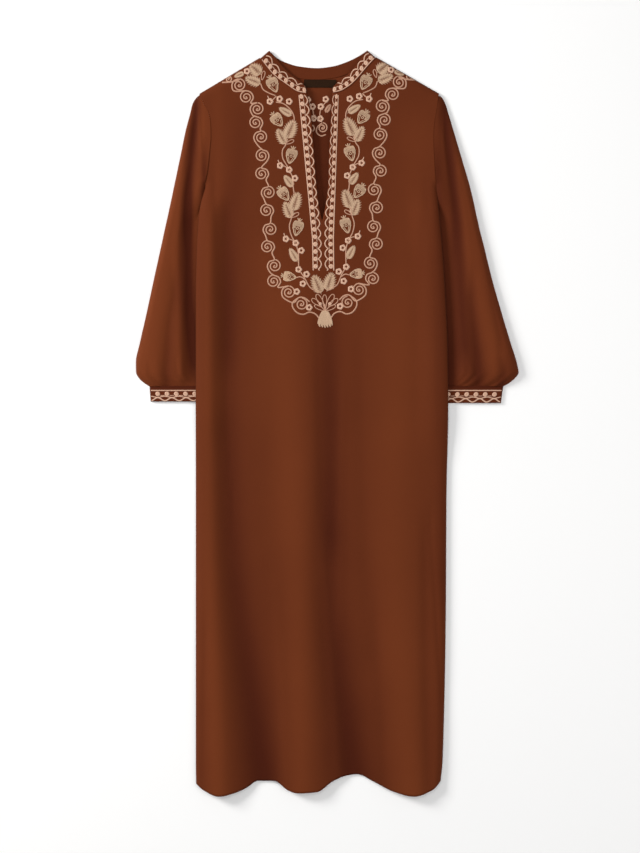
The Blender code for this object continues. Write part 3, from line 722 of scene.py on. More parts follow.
@dataclass
class BodyPanels:
    """The front panel with its neck slit, and the back panel under it."""

    finish: Material
    wall: float = 0.9
    half_columns: int = 64
    levels: int = 300
    back_columns: int = 60
    back_levels: int = 150
    back_shorter: float = 4.0
    slit_cluster: float = 0.55
    side_cluster: float = 0.8
    back_cluster: float = 0.6
    # Level of painted light on flat cloth.
    painted_light_base: float = 0.50
    # Painted shade on the back inside the neck slit, from deep to lighter near the neck.
    slit_painted_shades: tuple = (0.2, 0.5)
    inner_level: float = 560.0
    inner_reach: float = 90.0
    full_fold: float = 17.0
    # Soft patches of painted shade (below zero) and painted light (above zero) on the front.
    painted_shades: tuple = rows(
        Crest, (600, -208, 420, -206, 60, -204, 12, 16, 0.10, 0.20),
        (560, -160, 380, -180, 150, -192, 20, 24, -0.10, -0.22),
        (300, -100, 100, -92, -200, -80, 46, 40, 0.14, 0.10),
        (240, 2, 60, 8, -200, 8, 18, 22, -0.08, -0.16), (540, 168, 300, 150, 0, 140, 40, 44, 0.14, 0.10),
        (420, 206, 200, 214, -300, 216, 10, 12, -0.12, -0.12),
        (-560, 0, -620, 0, -700, 0, 300, 300, -0.04, -0.08),
    )
    creases: tuple = rows(
        Crest, (36, -190, -60, -187, -150, -180, 2.2, 2.6, -0.5, -0.7),
        (-210, 196, -340, 205, -500, 215, 4.0, 5.0, -0.9, -1.0),
        (430, -214, 340, -208, 250, -205, 7.0, 9.0, -0.8, -0.5),
        (420, 190, 330, 180, 240, 176, 9.0, 12.0, -0.8, -0.5),
        (340, -112, 190, -118, 20, -126, 18.0, 24.0, 0.6, 0.7),
        (120, 62, -100, 66, -420, 84, 14.0, 20.0, -0.7, -1.2),
        (-260, -8, -450, 8, -660, 22, 8.0, 11.0, 0.6, 1.3),
        (-330, -98, -480, -88, -660, -80, 10.0, 13.0, 0.5, 1.4),
        (-380, 92, -520, 100, -690, 108, 9.0, 12.0, -0.6, -1.2),
        (-420, -232, -560, -236, -690, -238, 6.0, 8.0, -0.7, -1.2),
        (180, -20, 60, -16, -120, -12, 7.0, 9.0, -0.5, -0.6),
        (40, 30, -140, 26, -360, 24, 7.0, 10.0, 0.6, 0.8),
    )

    def height(self, x: Array, y: Array) -> Array:
        """Middle of the front's wall, with its small creases."""
        rolled = round_off(LAY.rolled_distance(x, y), LAY.roll)
        return LAY.front_height(x, y) + LAY.fold_rise(self.creases, x, y) * rolled

    def surface(self, x: Array, y: Array) -> Array:
        """Upper face of the front."""
        return self.height(x, y) + self.wall / 2

    def tone(self, x: Array, y: Array) -> Array:
        """Painted light and shade of the front: painted shade in its fold valleys, painted light on its
        crests, and soft patches of painted shade and light.
        """
        folds = LAY.fold_rise(FRONT_FOLDS + self.creases, x, y) / self.full_fold
        return self.painted_light_base + folds + LAY.fold_rise(self.painted_shades, x, y)

    def slit_painted_shade(self, x: Array, y: Array) -> Array:
        """Painted shade of the back: dark deep inside the neck slit, lighter towards the neck."""
        return blend(*self.slit_painted_shades, ease((y - self.inner_level) / self.inner_reach))

    def front_grids(self) -> list:
        """Left and right halves of the front, from the hem up."""
        slit = LAY.slit_end.y
        reach = LAY.top_level - LAY.hem_level
        low_count = int(self.levels * (slit - LAY.hem_level) / reach)
        low = np.linspace(LAY.hem_level, slit, low_count)
        high = 1 - clustered(self.levels - low_count, self.slit_cluster)[::-1]
        high = slit + (LAY.top_level - slit) * high
        level = np.concatenate((low, high[1:]))
        grids = []
        for side, necks in ((Side.LEFT, (LEFT_TIP, LEFT_NECK)), (Side.RIGHT, (RIGHT_TIP, RIGHT_NECK))):
            top_inner = getattr(SLIT_EDGES[-1], side.value)
            neck = (necks[1].x - necks[0].x) / (top_inner - necks[0].x)
            outward = neck * clustered(self.half_columns // 2, self.side_cluster)
            share = np.concatenate((outward, np.linspace(neck, 1.0, self.half_columns // 2 + 1)[1:]))
            outer = LAY.body_edge(side, level)[:, None]
            opened = column(SLIT_EDGES, "y", side.value, level)
            inner = np.where(level <= slit, LAY.slit_end.x, opened)[:, None]
            x, y = LAY.panel_place(level[:, None], blend(outer, inner, share[None, :]), LAY.front_top)
            grids.append(np.dstack((x, y, self.height(x, y))))
        return grids

    def back_grid(self) -> Array:
        """The back panel, flat on the surface but for its raised sides."""
        level = np.linspace(LAY.hem_level, LAY.top_level, self.back_levels)[:, None]
        half = clustered(self.back_columns // 2, self.back_cluster) / 2
        share = np.concatenate((half, 1.0 - half[::-1]))[None, :]
        across = blend(LAY.body_edge(Side.LEFT, level), LAY.body_edge(Side.RIGHT, level), share)
        x, y = LAY.panel_place(level, across, LAY.back_top, self.back_shorter)
        return np.dstack((x, y, LAY.back_height(x, y) - (LAY.cloth - self.wall) / 2))

    def build(self) -> None:
        """Make both panels."""
        front = add_cloth("front_cloth", "front_panel", self.front_grids(), self.wall, self.tone,
                          self.finish)
        back = add_cloth("back_cloth", "back_panel", [self.back_grid()], self.wall, self.slit_painted_shade,
                         self.finish)


@dataclass
class Sleeve:
    """One gathered sleeve, open at the armhole and at the cuff."""

    side: Side
    finish: Material
    sections: tuple
    folds: tuple
    creases: tuple
    painted_shades: tuple
    painted_light_base: float
    full_fold: float = 8.0
    wall: float = 0.9
    upper_columns: int = 90
    lower_columns: int = 24
    low_rows: int = 150
    high_rows: int = 70
    gathers: int = 5
    gather_rise: float = 0.7
    gather_top: float = 165.0
    gather_wander: float = 1.4
    wander_turn: float = 7.0
    row_cluster: float = 0.5
    outer_cluster: float = 0.75
    inner_cluster: float = 0.45
    settle: float = 80.0

    @property
    def rising(self) -> tuple:
        """Sections from the cuff up."""
        return tuple(reversed(self.sections))

    def at(self, key: str, y: Array) -> Array:
        """A named size of the sleeve at a level."""
        return column(self.rising, "y", key, y)

    def height(self, x: Array, y: Array) -> Array:
        """Middle of the upper layer's wall."""
        folded = [row for row in self.sections if row.inner is not None]
        from_outer = polyline_distance(x, y, [(row.outer, row.y) for row in self.sections])
        from_inner = polyline_distance(x, y, [(row.inner, row.y) for row in folded])
        from_inner = np.maximum(0.0, from_inner - self.at("flat", y))
        below = ease((folded[0].y - y) / self.settle)
        rolled = blend(round_off(from_inner, LAY.roll), ease(from_inner / (2.0 * LAY.roll)), below)
        rolled = rolled * round_off(from_outer, LAY.outer_roll)
        rise = self.at("rise", y) + LAY.fold_rise(self.folds + self.creases, x, y)
        width = folded[-1].inner - folded[-1].outer
        share = (x - self.at("outer", y)) / width
        pleat = ease((self.gather_top - y) / (self.gather_top - self.sections[-1].y))
        wander = self.gather_wander * np.sin(self.wander_turn * share)
        wave = np.cos(2.0 * np.pi * self.gathers * share + wander)
        rise = rise + self.gather_rise * pleat ** 1.5 * wave
        return LAY.cloth * 1.5 + LAY.seam + np.maximum(LAY.least_rise, rise) * rolled

    def tone(self, x: Array, y: Array) -> Array:
        """Painted light and shade of the sleeve: painted shade in its fold valleys, painted light on its
        crests, and soft patches of painted shade and light.
        """
        folds = LAY.fold_rise(self.folds + self.creases, x, y) / self.full_fold
        return self.painted_light_base + folds + LAY.fold_rise(self.painted_shades, x, y)

    def grid(self) -> Array:
        """Rows round the sleeve, from the cuff up."""
        end = self.sections[-1].y
        low = end + (LAY.armpit_level + 1.5 - end) * clustered(self.low_rows, self.row_cluster)
        level = np.linspace(LAY.armpit_level, LAY.top_level - LAY.turn, self.high_rows + 1)[1:]
        seam_x, seam_y = LAY.panel_place(level, LAY.body_edge(self.side, level), LAY.front_top)
        folded = [row for row in self.rising if row.inner is not None]
        inner = read_curve([row.y for row in folded], [row.inner for row in folded], low)
        outer = self.at("outer", low)
        levels = [(o, i, y, True) for o, i, y in zip(outer, inner, low)]
        outer = self.at("outer", seam_y)
        seam = seam_x + self.side.sign * 0.2
        levels += [(o, i, y, False) for o, i, y in zip(outer, seam, seam_y)
                   if abs(i - o) > 3.0 * LAY.turn]
        floor = self.wall / 2
        grid = []
        for outer_x, inner_x, y, closed in levels:
            width = abs(inner_x - outer_x)
            last = width - (LAY.turn if closed else 0.0)
            half = self.upper_columns // 2
            outer_half = blend(LAY.turn, width / 2, clustered(half, self.outer_cluster))
            inner_half = blend(last, width / 2, clustered(half, self.inner_cluster))
            step = np.concatenate((outer_half, inner_half[-2::-1]))
            x = blend(outer_x, inner_x, step / width)
            over = np.column_stack((x, np.full(len(x), y), self.height(x, np.full(len(x), y))))
            step = np.linspace(LAY.turn, last, self.lower_columns)
            x = blend(outer_x, inner_x, step / width)
            under = np.column_stack((x, np.full(len(x), y), np.full(len(x), floor)))
            fold = np.array([[outer_x, y, floor + LAY.turn]])
            tip = np.array([[inner_x, y, floor + LAY.turn]])
            if closed:
                grid.append(np.vstack((tip, over[::-1], fold, under, tip)))
            else:
                seam_top = self.height(np.array([inner_x]), np.array([y]))[0]
                grid.append(np.vstack(([[inner_x, y, seam_top]], over[::-1], fold, under,
                                       [[inner_x, y, floor]])))
        return np.array(grid)

    def build(self) -> None:
        """Make the sleeve."""
        name = f"sleeve_{self.side.value}"
        piece = add_cloth(f"{name}_cloth", name, [self.grid()], self.wall, self.tone, self.finish)


@dataclass
class Cuff:
    """One narrow cuff band, lying flat."""

    side: Side
    finish: Material
    hoops: tuple
    wall: float = 1.2
    rise: float = 1.2
    roll: float = 26.0
    rows: int = 16
    columns: int = 60
    plain: float = 7.4
    margin: float = 0.8
    tone: float = 0.30
    # Painted shadow of the sleeve on the plain strip above the band.
    painted_shadow_tone: float = 0.04

    def edges(self, y: Array) -> tuple:
        """X of the outer and the inner fold at a level."""
        rising = self.hoops[::-1]
        return column(rising, "y", "outer_x", y), column(rising, "y", "inner_x", y)

    def height(self, x: Array, y: Array) -> Array:
        """Middle of the upper layer's wall."""
        outer, inner = self.edges(y)
        edge = np.minimum(np.abs(x - outer), np.abs(x - inner))
        return LAY.band * 1.5 + LAY.seam + self.rise * round_off(edge, self.roll)

    def shade(self, x: Array, y: Array) -> Array:
        """How light the cuff is, with the sleeve's shadow painted dark above the band."""
        top = self.hoops[0].y
        return blend(self.tone, self.painted_shadow_tone, ease((y - top + self.plain) / (0.5 * self.plain)))

    def surface(self, x: Array, y: Array) -> Array:
        """Upper face of the cuff."""
        return self.height(x, y) + self.wall / 2

    def grid(self) -> Array:
        """Loops round the cuff."""
        grid = []
        for y in np.linspace(self.hoops[-1].y, self.hoops[0].y, self.rows):
            outer, inner = (float(x) for x in self.edges(y))
            width = abs(inner - outer)
            step = np.linspace(LAY.band_turn, width - LAY.band_turn, self.columns)
            x = blend(outer, inner, step / width)
            level = np.full(len(x), y)
            over = np.column_stack((x, level, self.height(x, level)))
            under = np.column_stack((x, level, np.full(len(x), self.wall / 2)))
            fold = [[outer, y, LAY.band]]
            tip = [[inner, y, LAY.band]]
            grid.append(np.vstack((tip, over[::-1], fold, under, tip)))
        return np.array(grid)

    def build(self) -> None:
        """Make the cuff."""
        name = f"cuff_{self.side.value}"
        piece = add_cloth(f"{name}_band", name, [self.grid()], self.wall, self.shade, self.finish)

    def ground(self, run: Array, across: Array) -> Array:
        """Points on the cuff at a run in from its outer edge and a distance below its border."""
        y = self.hoops[0].y - self.plain - across
        outer, inner = self.edges(y)
        x = np.clip(outer - self.side.sign * run, np.minimum(outer, inner) + self.margin,
                    np.maximum(outer, inner) - self.margin)
        return np.column_stack((x, y, self.surface(x, y)))

    def embroider(self, thread: Material) -> None:
        """Add the band of needlework to the upper face."""
        length = abs(self.hoops[0].outer_x - self.hoops[0].inner_x) - 1.0
        depth = self.hoops[0].y - self.plain - self.hoops[-1].y
        BandEmbroidery(f"cuff_stitching_{self.side.value}", thread, self.ground, length, depth,
                       pitch=17.6, wave=27.0, start=14.0, crossed=True).build()


@dataclass
class Collar:
    """The stand collar, open at the slit and folded over at both shoulder points."""

    finish: Material
    wall: float = 1.2
    strips: int = 14
    front_steps: int = 46
    back_steps: int = 70
    strip_width: float = math.hypot(7.0, 20.0)
    pinch: float = 0.6
    free_rise: float = 2.6
    crown: float = 0.8
    away: float = -1.2
    band_width: float = 18.5
    band_lengths: tuple = (111.0, 108.0)
    tone: float = 0.42

    def stretch(self, stations: tuple, count: int, top: Callable) -> Array:
        """Evenly spread stations along a stretch, sewn to a panel's top line."""
        table = np.array(stations, float)
        return self.read(table, np.linspace(0.0, run_along(table)[-1], count), top)

    def read(self, table: Array, at: Array, top: Callable) -> Array:
        """Stations at some runs along a stretch, sewn to a panel's top line."""
        runs = run_along(table)
        stations = np.column_stack([read_curve(runs, table[:, i], at) for i in range(4)])
        stations[:, 1] = top(stations[:, 0])
        return stations

    def over(self, stations: Array, share: float) -> Array:
        """Points of a front stretch at a share from the seam to the free edge."""
        x = blend(stations[:, 0], stations[:, 2], share)
        y = blend(stations[:, 1], stations[:, 3], share)
        peaks = (COLLAR_LEFT[-1], COLLAR_RIGHT[0])
        from_peak = np.min([span_distance(x, y, peak[:2], peak[2:]) for peak in peaks], axis=0)
        seam_rise = LAY.front_height(stations[:, 0], stations[:, 1]) - LAY.cloth * 1.5 - LAY.seam
        free_rise = self.free_rise * round_off(from_peak, 2.0 * LAY.roll)
        rise = blend(seam_rise, free_rise, share)
        rise = rise + self.crown * np.sin(np.pi * share) * round_off(from_peak, LAY.roll)
        return np.column_stack((x, y, LAY.band * 1.5 + LAY.seam + np.maximum(0.0, rise)))

    def under(self, stations: Array, share: float) -> Array:
        """Points of the back stretch, which lies on the surface."""
        x = blend(stations[:, 0], stations[:, 2], share)
        y = blend(stations[:, 1], stations[:, 3], share)
        return np.column_stack((x, y, np.full(len(x), LAY.band / 2)))

    def grid(self) -> Array:
        """Strips along the collar from one end at the slit to the other."""
        left = self.stretch(COLLAR_LEFT, self.front_steps, LAY.front_top)
        back = self.stretch(COLLAR_BACK, self.back_steps, LAY.back_top)
        right = self.stretch(COLLAR_RIGHT, self.front_steps, LAY.front_top)
        turn = LAY.band_turn
        inset = np.array([turn, -self.pinch * turn, turn, -self.pinch * turn])
        outset = inset * np.array([-1, 1, -1, 1])
        first = self.away / self.strip_width
        lifted = np.array([0.0, 0.0, turn])
        strips = []
        for share in np.linspace(first, 1.0, self.strips):
            strips.append(np.vstack((
                self.over(left[:-1], share), self.over(left[-1:] + inset, share),
                self.under(left[-1:], share) + lifted, self.under(left[-1:] + inset, share),
                self.under(back[1:-1], share), self.under(right[:1] + outset, share),
                self.under(right[:1], share) + lifted, self.over(right[:1] + outset, share),
                self.over(right[1:], share))))
        return np.array(strips)

    def shade(self, x: Array, y: Array) -> Array:
        """How light the collar is, the same all over."""
        return np.full(len(x), self.tone)

    def build(self) -> None:
        """Make the collar."""
        piece = add_cloth("collar_band", "collar", [self.grid()], self.wall, self.shade, self.finish)

    def ground(self, side: Side, run: Array, across: Array) -> Array:
        """Points on a front stretch at a run from the slit and a distance from the seam."""
        table = np.array(COLLAR_LEFT if side is Side.LEFT else COLLAR_RIGHT[::-1], float)
        stations = self.read(table, run, LAY.front_top)
        width = np.hypot(stations[:, 2] - stations[:, 0], stations[:, 3] - stations[:, 1])
        points = self.over(stations, np.clip(across / width, 0.03, 0.97))
        points[:, 2] += self.wall / 2
        return points

    def embroider(self, thread: Material) -> None:
        """Add the needlework of both front stretches."""
        for side, length in zip(Side, self.band_lengths):
            BandEmbroidery(f"collar_stitching_{side.value}", thread, partial(self.ground, side),
                           length, self.band_width, wave=22.0).build()


# Embroidery: every motif is drawn by a function, from its place, direction and size

Scroll = namedtuple("Scroll", "away y outer")
Motif = namedtuple("Motif", "base_x base_y tip_x tip_y width")
Ring = namedtuple("Ring", "x y tail", defaults=(False,))
Trace = namedtuple("Trace", "along aside width rise")

AXIS = rows(
    Spot, (-4, 190), (-4.9, 225), (-9.2, 300), (-10.5, 400), (-12.8, 540), (-15.3, 640),
)
SCROLLS = rows(
    Scroll, (151.7, 641, True), (138.6, 618, False), (118.3, 595.5, True), (122.1, 569.5, False),
    (112.7, 542, True), (111.5, 507, False), (112.7, 472.5, False), (100.2, 437, True),
    (104.4, 403, False), (97.8, 367, True), (103.4, 334, False), (90.7, 298, True), (94, 268.6, False),
    (66.7, 248, True),
)
SCROLL_LINE = ((0.0, 1.0, 0.0), (0.72, 0.66, 0.0), (1.0, 0.0, -1.5), (0.66, -1.0, 0.0))
SCROLL_JOIN = [(-64.0, 228.0), (-54.0, 237.5), (-43.0, 237.0), (-33.0, 229.5)]
SCROLL_END = ((-55, 237), (-65, 228.6), (-65, 219), (-56.6, 209), (-45, 206), (-34, 210),
              (-22.8, 207), (-14.3, 197.6))
SHOULDER_LINE = [(-200.0, 646.0), (-183.0, 646.5), (-168.0, 650.0)]
BUDS = rows(
    Motif, (-95.8, 627, -111, 660, 24), (-85.6, 563, -106, 589, 24), (-72, 491.5, -63.5, 525.5, 23),
    (-73.5, 422, -93, 449.5, 23), (-60, 354.6, -51, 389, 22), (-58.5, 275.7, -88.5, 280, 20),
)
TOOTHED_LEAVES = rows(
    Motif, (-77, 539, -62, 575, 22), (-66, 402, -54, 438, 20), (-11.4, 245.6, -26.5, 281, 20),
    (-79, 528, -95, 558, 16), (-68, 388, -81, 420, 17), (-126, 661, -147, 680, 22),
    (-126, 643, -156, 655, 17),
)
PLAIN_LEAVES = rows(
    Motif, (-67, 583, -92, 598, 13), (-65, 447.5, -82, 470, 14), (-56.6, 306, -71.6, 332, 14),
    (-158, 664, -177, 656, 10),
)
HOOKS = rows(
    Motif, (-124, 650, -119.5, 667, 7), (-79, 529, -63.5, 536, 7), (-67, 390, -54, 398, 7),
)
RINGS = rows(
    Ring, (-108.5, 609.5, True), (-90, 614.5), (-72, 609.5), (-89, 488, True), (-72, 480), (-61, 464),
    (-78, 349, True), (-59.5, 341), (-49, 327), (-54, 291), (-39, 282), (-46, 264), (-57.6, 249),
    (-34, 219), (-152, 667),
)
STEMS = (
    ((-126, 643), (-121, 632), (-109, 625), (-97.5, 620.5)),
    ((-97.5, 608.6), (-82, 605), (-68.6, 593), (-62.7, 580), (-63.5, 568)),
    ((-77, 541), (-79, 527), (-84.7, 517), (-84, 502), (-75, 486), (-72, 480)),
    ((-72, 480), (-65, 464), (-64.4, 447.5), (-62, 432)),
    ((-66, 404), (-68, 387.5), (-71.6, 373), (-68, 356), (-59.5, 341)),
    ((-59.5, 341), (-54.7, 322.6), (-54, 296)),
    ((-54, 291), (-43.5, 276), (-34, 259), (-24.7, 252), (-11.4, 246)),
    ((-96, 620), (-102, 614), (-108.5, 609.5)),
    ((-75, 484), (-82, 487), (-89, 488)),
    ((-62, 345), (-70, 348), (-78, 349)),
    ((-58.5, 275.7), (-50, 277), (-42, 272)),
)
CENTRE_SPRIG = rows(
    Motif, (-4, 214, -20, 244, 11), (-4, 216, -5, 243, 9), (-3, 214, 12, 244, 11),
    (-10, 221, -29, 235, 10), (2, 221, 20, 235, 10), (-4, 213, -24, 223, 8), (-3, 213, 16, 223, 8),
)
SPRIG_STALK = ((-4, 212), (-4, 218), (-4.5, 226))
BACK_RINGS = rows(
    Ring, (-2.5, 615), (-12, 601), (-13, 578), (-28, 601), (-26, 579), (-37, 614),
)
BACK_LEAVES = rows(Motif, (-3, 590, 7, 606, 9), (-36, 590, -46, 606, 9))
BACK_SPIRALS = ((-9.0, 561.0, 1.0), (-31.0, 561.0, -1.0))
BACK_VINES = (
    ((-2, 610), (-7, 604), (-12, 596), (-14, 586), (-13, 572)),
    ((-37, 610), (-32, 604), (-28, 596), (-26, 586), (-27, 572)),
)
BACK_SCROLL_LINE = ((-9, 570.5), (-19, 562), (-20, 552), (-12, 545.5), (-2, 548))
BUD_TRACES = rows(
    Trace, ((0.0, 0.14, 0.30, 0.42), (0.0, 0.38, 0.62, 0.86), 2.2, 0.7),
    ((0.03, 0.2, 0.36), (0.0, 0.2, 0.42), 1.4, 0.55), ((0.82, 0.9, 0.96), (0.1, 0.26, 0.44), 2.0, 0.7),
)
SPIRAL_TURNS = (0.0, 0.25, 0.5, 0.75, 1.0, 1.25, 1.5, 1.75)
SPIRAL_SHARES = (1.0, 0.92, 0.80, 0.66, 0.52, 0.40, 0.28, 0.16)


class Stroke(Enum):
    """Cross-sections of a line of thread, as shares of its half width and height."""

    ROUND = ((-1.0, -0.3), (-0.62, 0.7), (0.0, 1.0), (0.62, 0.7), (1.0, -0.3))
    STITCH = ((-1.0, -0.3), (0.0, 1.0), (1.0, -0.3))


@dataclass
class Needlework:
    """Lines of thread gathered into one mesh and laid on a ground."""

    name: str
    finish: Material
    slot: str
    ground: Heights
    path_step: float = 1.1
    least_taper: float = 0.12
    leaf_gap: float = 1.75
    leaf_stitch: float = 2.7
    leaf_slant: float = 0.14
    bud_stitch: float = 2.35
    flower_radius: float = 4.3
    flower_line: float = 4.1
    spiral_line: float = 2.75
    places: list = field(default_factory=list)
    lifts: list = field(default_factory=list)
    layout: list = field(default_factory=list)
    faces: list = field(default_factory=list)
    count: int = 0

    def line(self, path: Places, width: float, rise: float, form: Stroke = Stroke.ROUND,
             closed: bool = False, taper: float = 0.5) -> None:
        """Add one line of thread.

        Args:
            path: Its middle line on the ground.
            width: Its full width.
            rise: Its height above the ground.
            form: Its cross-section.
            closed: Whether it joins its own start.
            taper: Length of its narrowed ends, as a share of its width.
        """
        path = np.asarray(path, float)
        if closed:
            ring = path[:-1]
            ahead = np.roll(ring, -1, axis=0) - np.roll(ring, 1, axis=0)
            ahead = np.vstack((ahead, ahead[:1]))
        else:
            ahead = np.gradient(path, axis=0)
        ahead = ahead / np.maximum(1e-9, np.hypot(ahead[:, 0], ahead[:, 1]))[:, None]
        across = np.column_stack((-ahead[:, 1], ahead[:, 0]))
        run = run_along(path)
        reach = max(1e-6, min(width * taper, run[-1] / 2))
        shape = np.ones(len(path))
        if not closed:
            shape = np.maximum(self.least_taper, round_off(np.minimum(run, run[-1] - run), reach))
        section = np.array(form.value)
        side = section[:, 0] * width / 2
        beside = (side[None, :] * shape[:, None])[..., None]
        self.places.append((path[:, None] + across[:, None] * beside).reshape(-1, 2))
        self.lifts.append((section[None, :, 1] * rise * shape[:, None]).ravel())
        self.layout.append(np.dstack(np.broadcast_arrays(run[:, None], side[None, :])).reshape(-1, 2))
        wide = len(section)
        corner = self.count + np.arange((len(path) - 1) * wide).reshape(-1, wide)[:, :-1]
        corners = (corner, corner + 1, corner + wide + 1, corner + wide)
        self.faces.append(np.dstack(corners).reshape(-1, 4))
        self.count += len(path) * wide

    def curve(self, points: Sequence, width: float, rise: float = 0.6) -> None:
        """Add a smooth line through some points."""
        self.line(smooth_path(points, self.path_step), width, rise)

    def ring(self, x: float, y: float, radius: float, width: float, rise: float, scallops: int = 0) -> None:
        """Add a closed ring, plain or with rounded scallops.

        Args:
            x: X of its middle.
            y: Y of its middle.
            radius: Radius of its middle line.
            width: Width of its line.
            rise: Height of its line.
            scallops: Number of scallops.
        """
        turn = np.linspace(0.0, 2.0 * np.pi, 6 * max(4, scallops) + 1)
        reach = radius * (1.0 + (0.13 * np.cos(scallops * turn) if scallops else 0.0))
        path = np.column_stack((x + reach * np.cos(turn), y + reach * np.sin(turn)))
        self.line(path, width, rise, closed=True)

    def dot(self, x: float, y: float, radius: float, rise: float) -> None:
        """Add a round satin-stitched dot."""
        self.ring(x, y, radius * 0.5, radius * 1.06, rise)

    def local(self, motif: Motif) -> Heights:
        """Map from shares along a motif and distances beside it to the ground."""
        base = np.array((motif.base_x, motif.base_y), float)
        axis = np.array((motif.tip_x, motif.tip_y), float) - base
        beside = np.array((-axis[1], axis[0])) / np.hypot(*axis)

        def place(along: Array, aside: Array) -> Places:
            """Ground place of a share along the motif and a distance beside it."""
            along, aside = np.broadcast_arrays(along, aside)
            return base + along[..., None] * axis + aside[..., None] * beside

        return place

    def leaf(self, motif: Motif, teeth: float) -> None:
        """Add a leaf of slanted satin stitches that meet in its midrib.

        Args:
            motif: Its base, tip and width.
            teeth: How far every third stitch runs past the edge.
        """
        place = self.local(motif)
        length = math.hypot(motif.tip_x - motif.base_x, motif.tip_y - motif.base_y)
        count = max(7, int(length / self.leaf_gap))
        for i in range(count):
            start = 0.03 + 0.83 * i / count
            end = min(0.99, start + self.leaf_slant)
            half = 0.56 * motif.width * math.sin(math.pi * min(1.0, end) ** 0.8) ** 0.55
            half = max(1.2, half) + (teeth if i % 3 == 1 else 0.0)
            along = np.array([start, blend(start, end, 0.55), end + 0.02 * (teeth > 0)])
            for side in (-1.0, 1.0):
                aside = side * np.array([-0.3, 0.55 * half, half])
                self.line(place(along, aside), self.leaf_stitch, 0.75, Stroke.STITCH, taper=0.22)
        self.line(place(np.array([-0.06, 0.1, 0.25]), np.zeros(3)), 2.0, 0.6)
        self.line(place(np.array([0.86, 0.94, 1.0]), np.zeros(3)), 2.2, 0.7, Stroke.STITCH)

    def loop_leaf(self, motif: Motif) -> None:
        """Add a small leaf drawn as an open outline."""
        turn = np.linspace(0.0, 2.0 * np.pi, 25)
        along = 0.5 - 0.5 * np.cos(turn)
        aside = motif.width / 2 * np.sin(turn) * np.sqrt(along + 0.15)
        self.line(self.local(motif)(along, aside), 1.8, 0.55)

    def bud(self, motif: Motif) -> None:
        """Add a round fruit bud with a three-pointed crown and an open calyx."""
        place = self.local(motif)
        half = motif.width / 2
        for side in np.linspace(-0.88, 0.88, 10):
            low = 0.50 if abs(side) < 0.3 else 0.36
            along = np.linspace(low, 0.845 - 0.03 * abs(side), 8)
            aside = side * half * np.sqrt(np.maximum(0.05, 1.0 - ((along - 0.58) / 0.33) ** 2))
            self.line(place(along, aside), self.bud_stitch, 0.95, Stroke.STITCH, taper=0.3)
        for side in (-1.0, 1.0):
            for trace in BUD_TRACES:
                path = place(np.array(trace.along), side * half * np.array(trace.aside))
                self.curve(path, trace.width, trace.rise)
        self.ring(*place(np.array(0.42), np.array(0.0)), 2.0, 1.5, 0.7)
        self.curve(place(np.array([0.82, 0.92, 1.0]), np.zeros(3)), 2.2, 0.8)

    def flower(self, x: float, y: float, tail: Sequence[float] = ()) -> None:
        """Add a ring flower, with a pointed tail towards a place if one is given."""
        self.ring(x, y, self.flower_radius, self.flower_line, 0.95, scallops=5)
        if len(tail):
            reach = np.array(tail, float) - (x, y)
            reach = reach / np.hypot(*reach)
            self.curve([np.array((x, y)) + reach * away for away in (5.0, 8.0, 12.0)], 2.0)

    def spiral(self, x: float, y: float, side: float, radius: float, turns: float = 1.7) -> None:
        """Add a spiral that starts at its top and winds inwards.

        Args:
            x: X of its middle.
            y: Y of its middle.
            side: Way it first curls along X, -1 or 1.
            radius: Radius at its start.
            turns: Number of turns.
        """
        turn = np.linspace(0.0, 2.0 * np.pi * turns, 50)
        reach = radius * read_curve(SPIRAL_TURNS, SPIRAL_SHARES, turn / (2.0 * np.pi))
        path = np.column_stack((x + side * reach * np.sin(turn), y + reach * np.cos(turn)))
        self.line(path, self.spiral_line, 0.8)
        self.dot(x, y, 1.7, 0.85)

    def build(self) -> None:
        """Lay all lines on the ground and make the piece."""
        places, lifts = np.vstack(self.places), np.concatenate(self.lifts)
        points = self.ground(places[:, 0], places[:, 1]) + lifts[:, None] * np.array((0.0, 0.0, 1.0))
        data = bpy.data.meshes.new(self.name)
        faces = np.vstack(self.faces)
        data.from_pydata((points * METRES).tolist(), [], faces.tolist())
        layer = data.uv_layers.new(name="stroke")
        layer.data.foreach_set("uv", np.vstack(self.layout)[faces.ravel()].ravel())
        add_piece(self.name, data, self.finish)


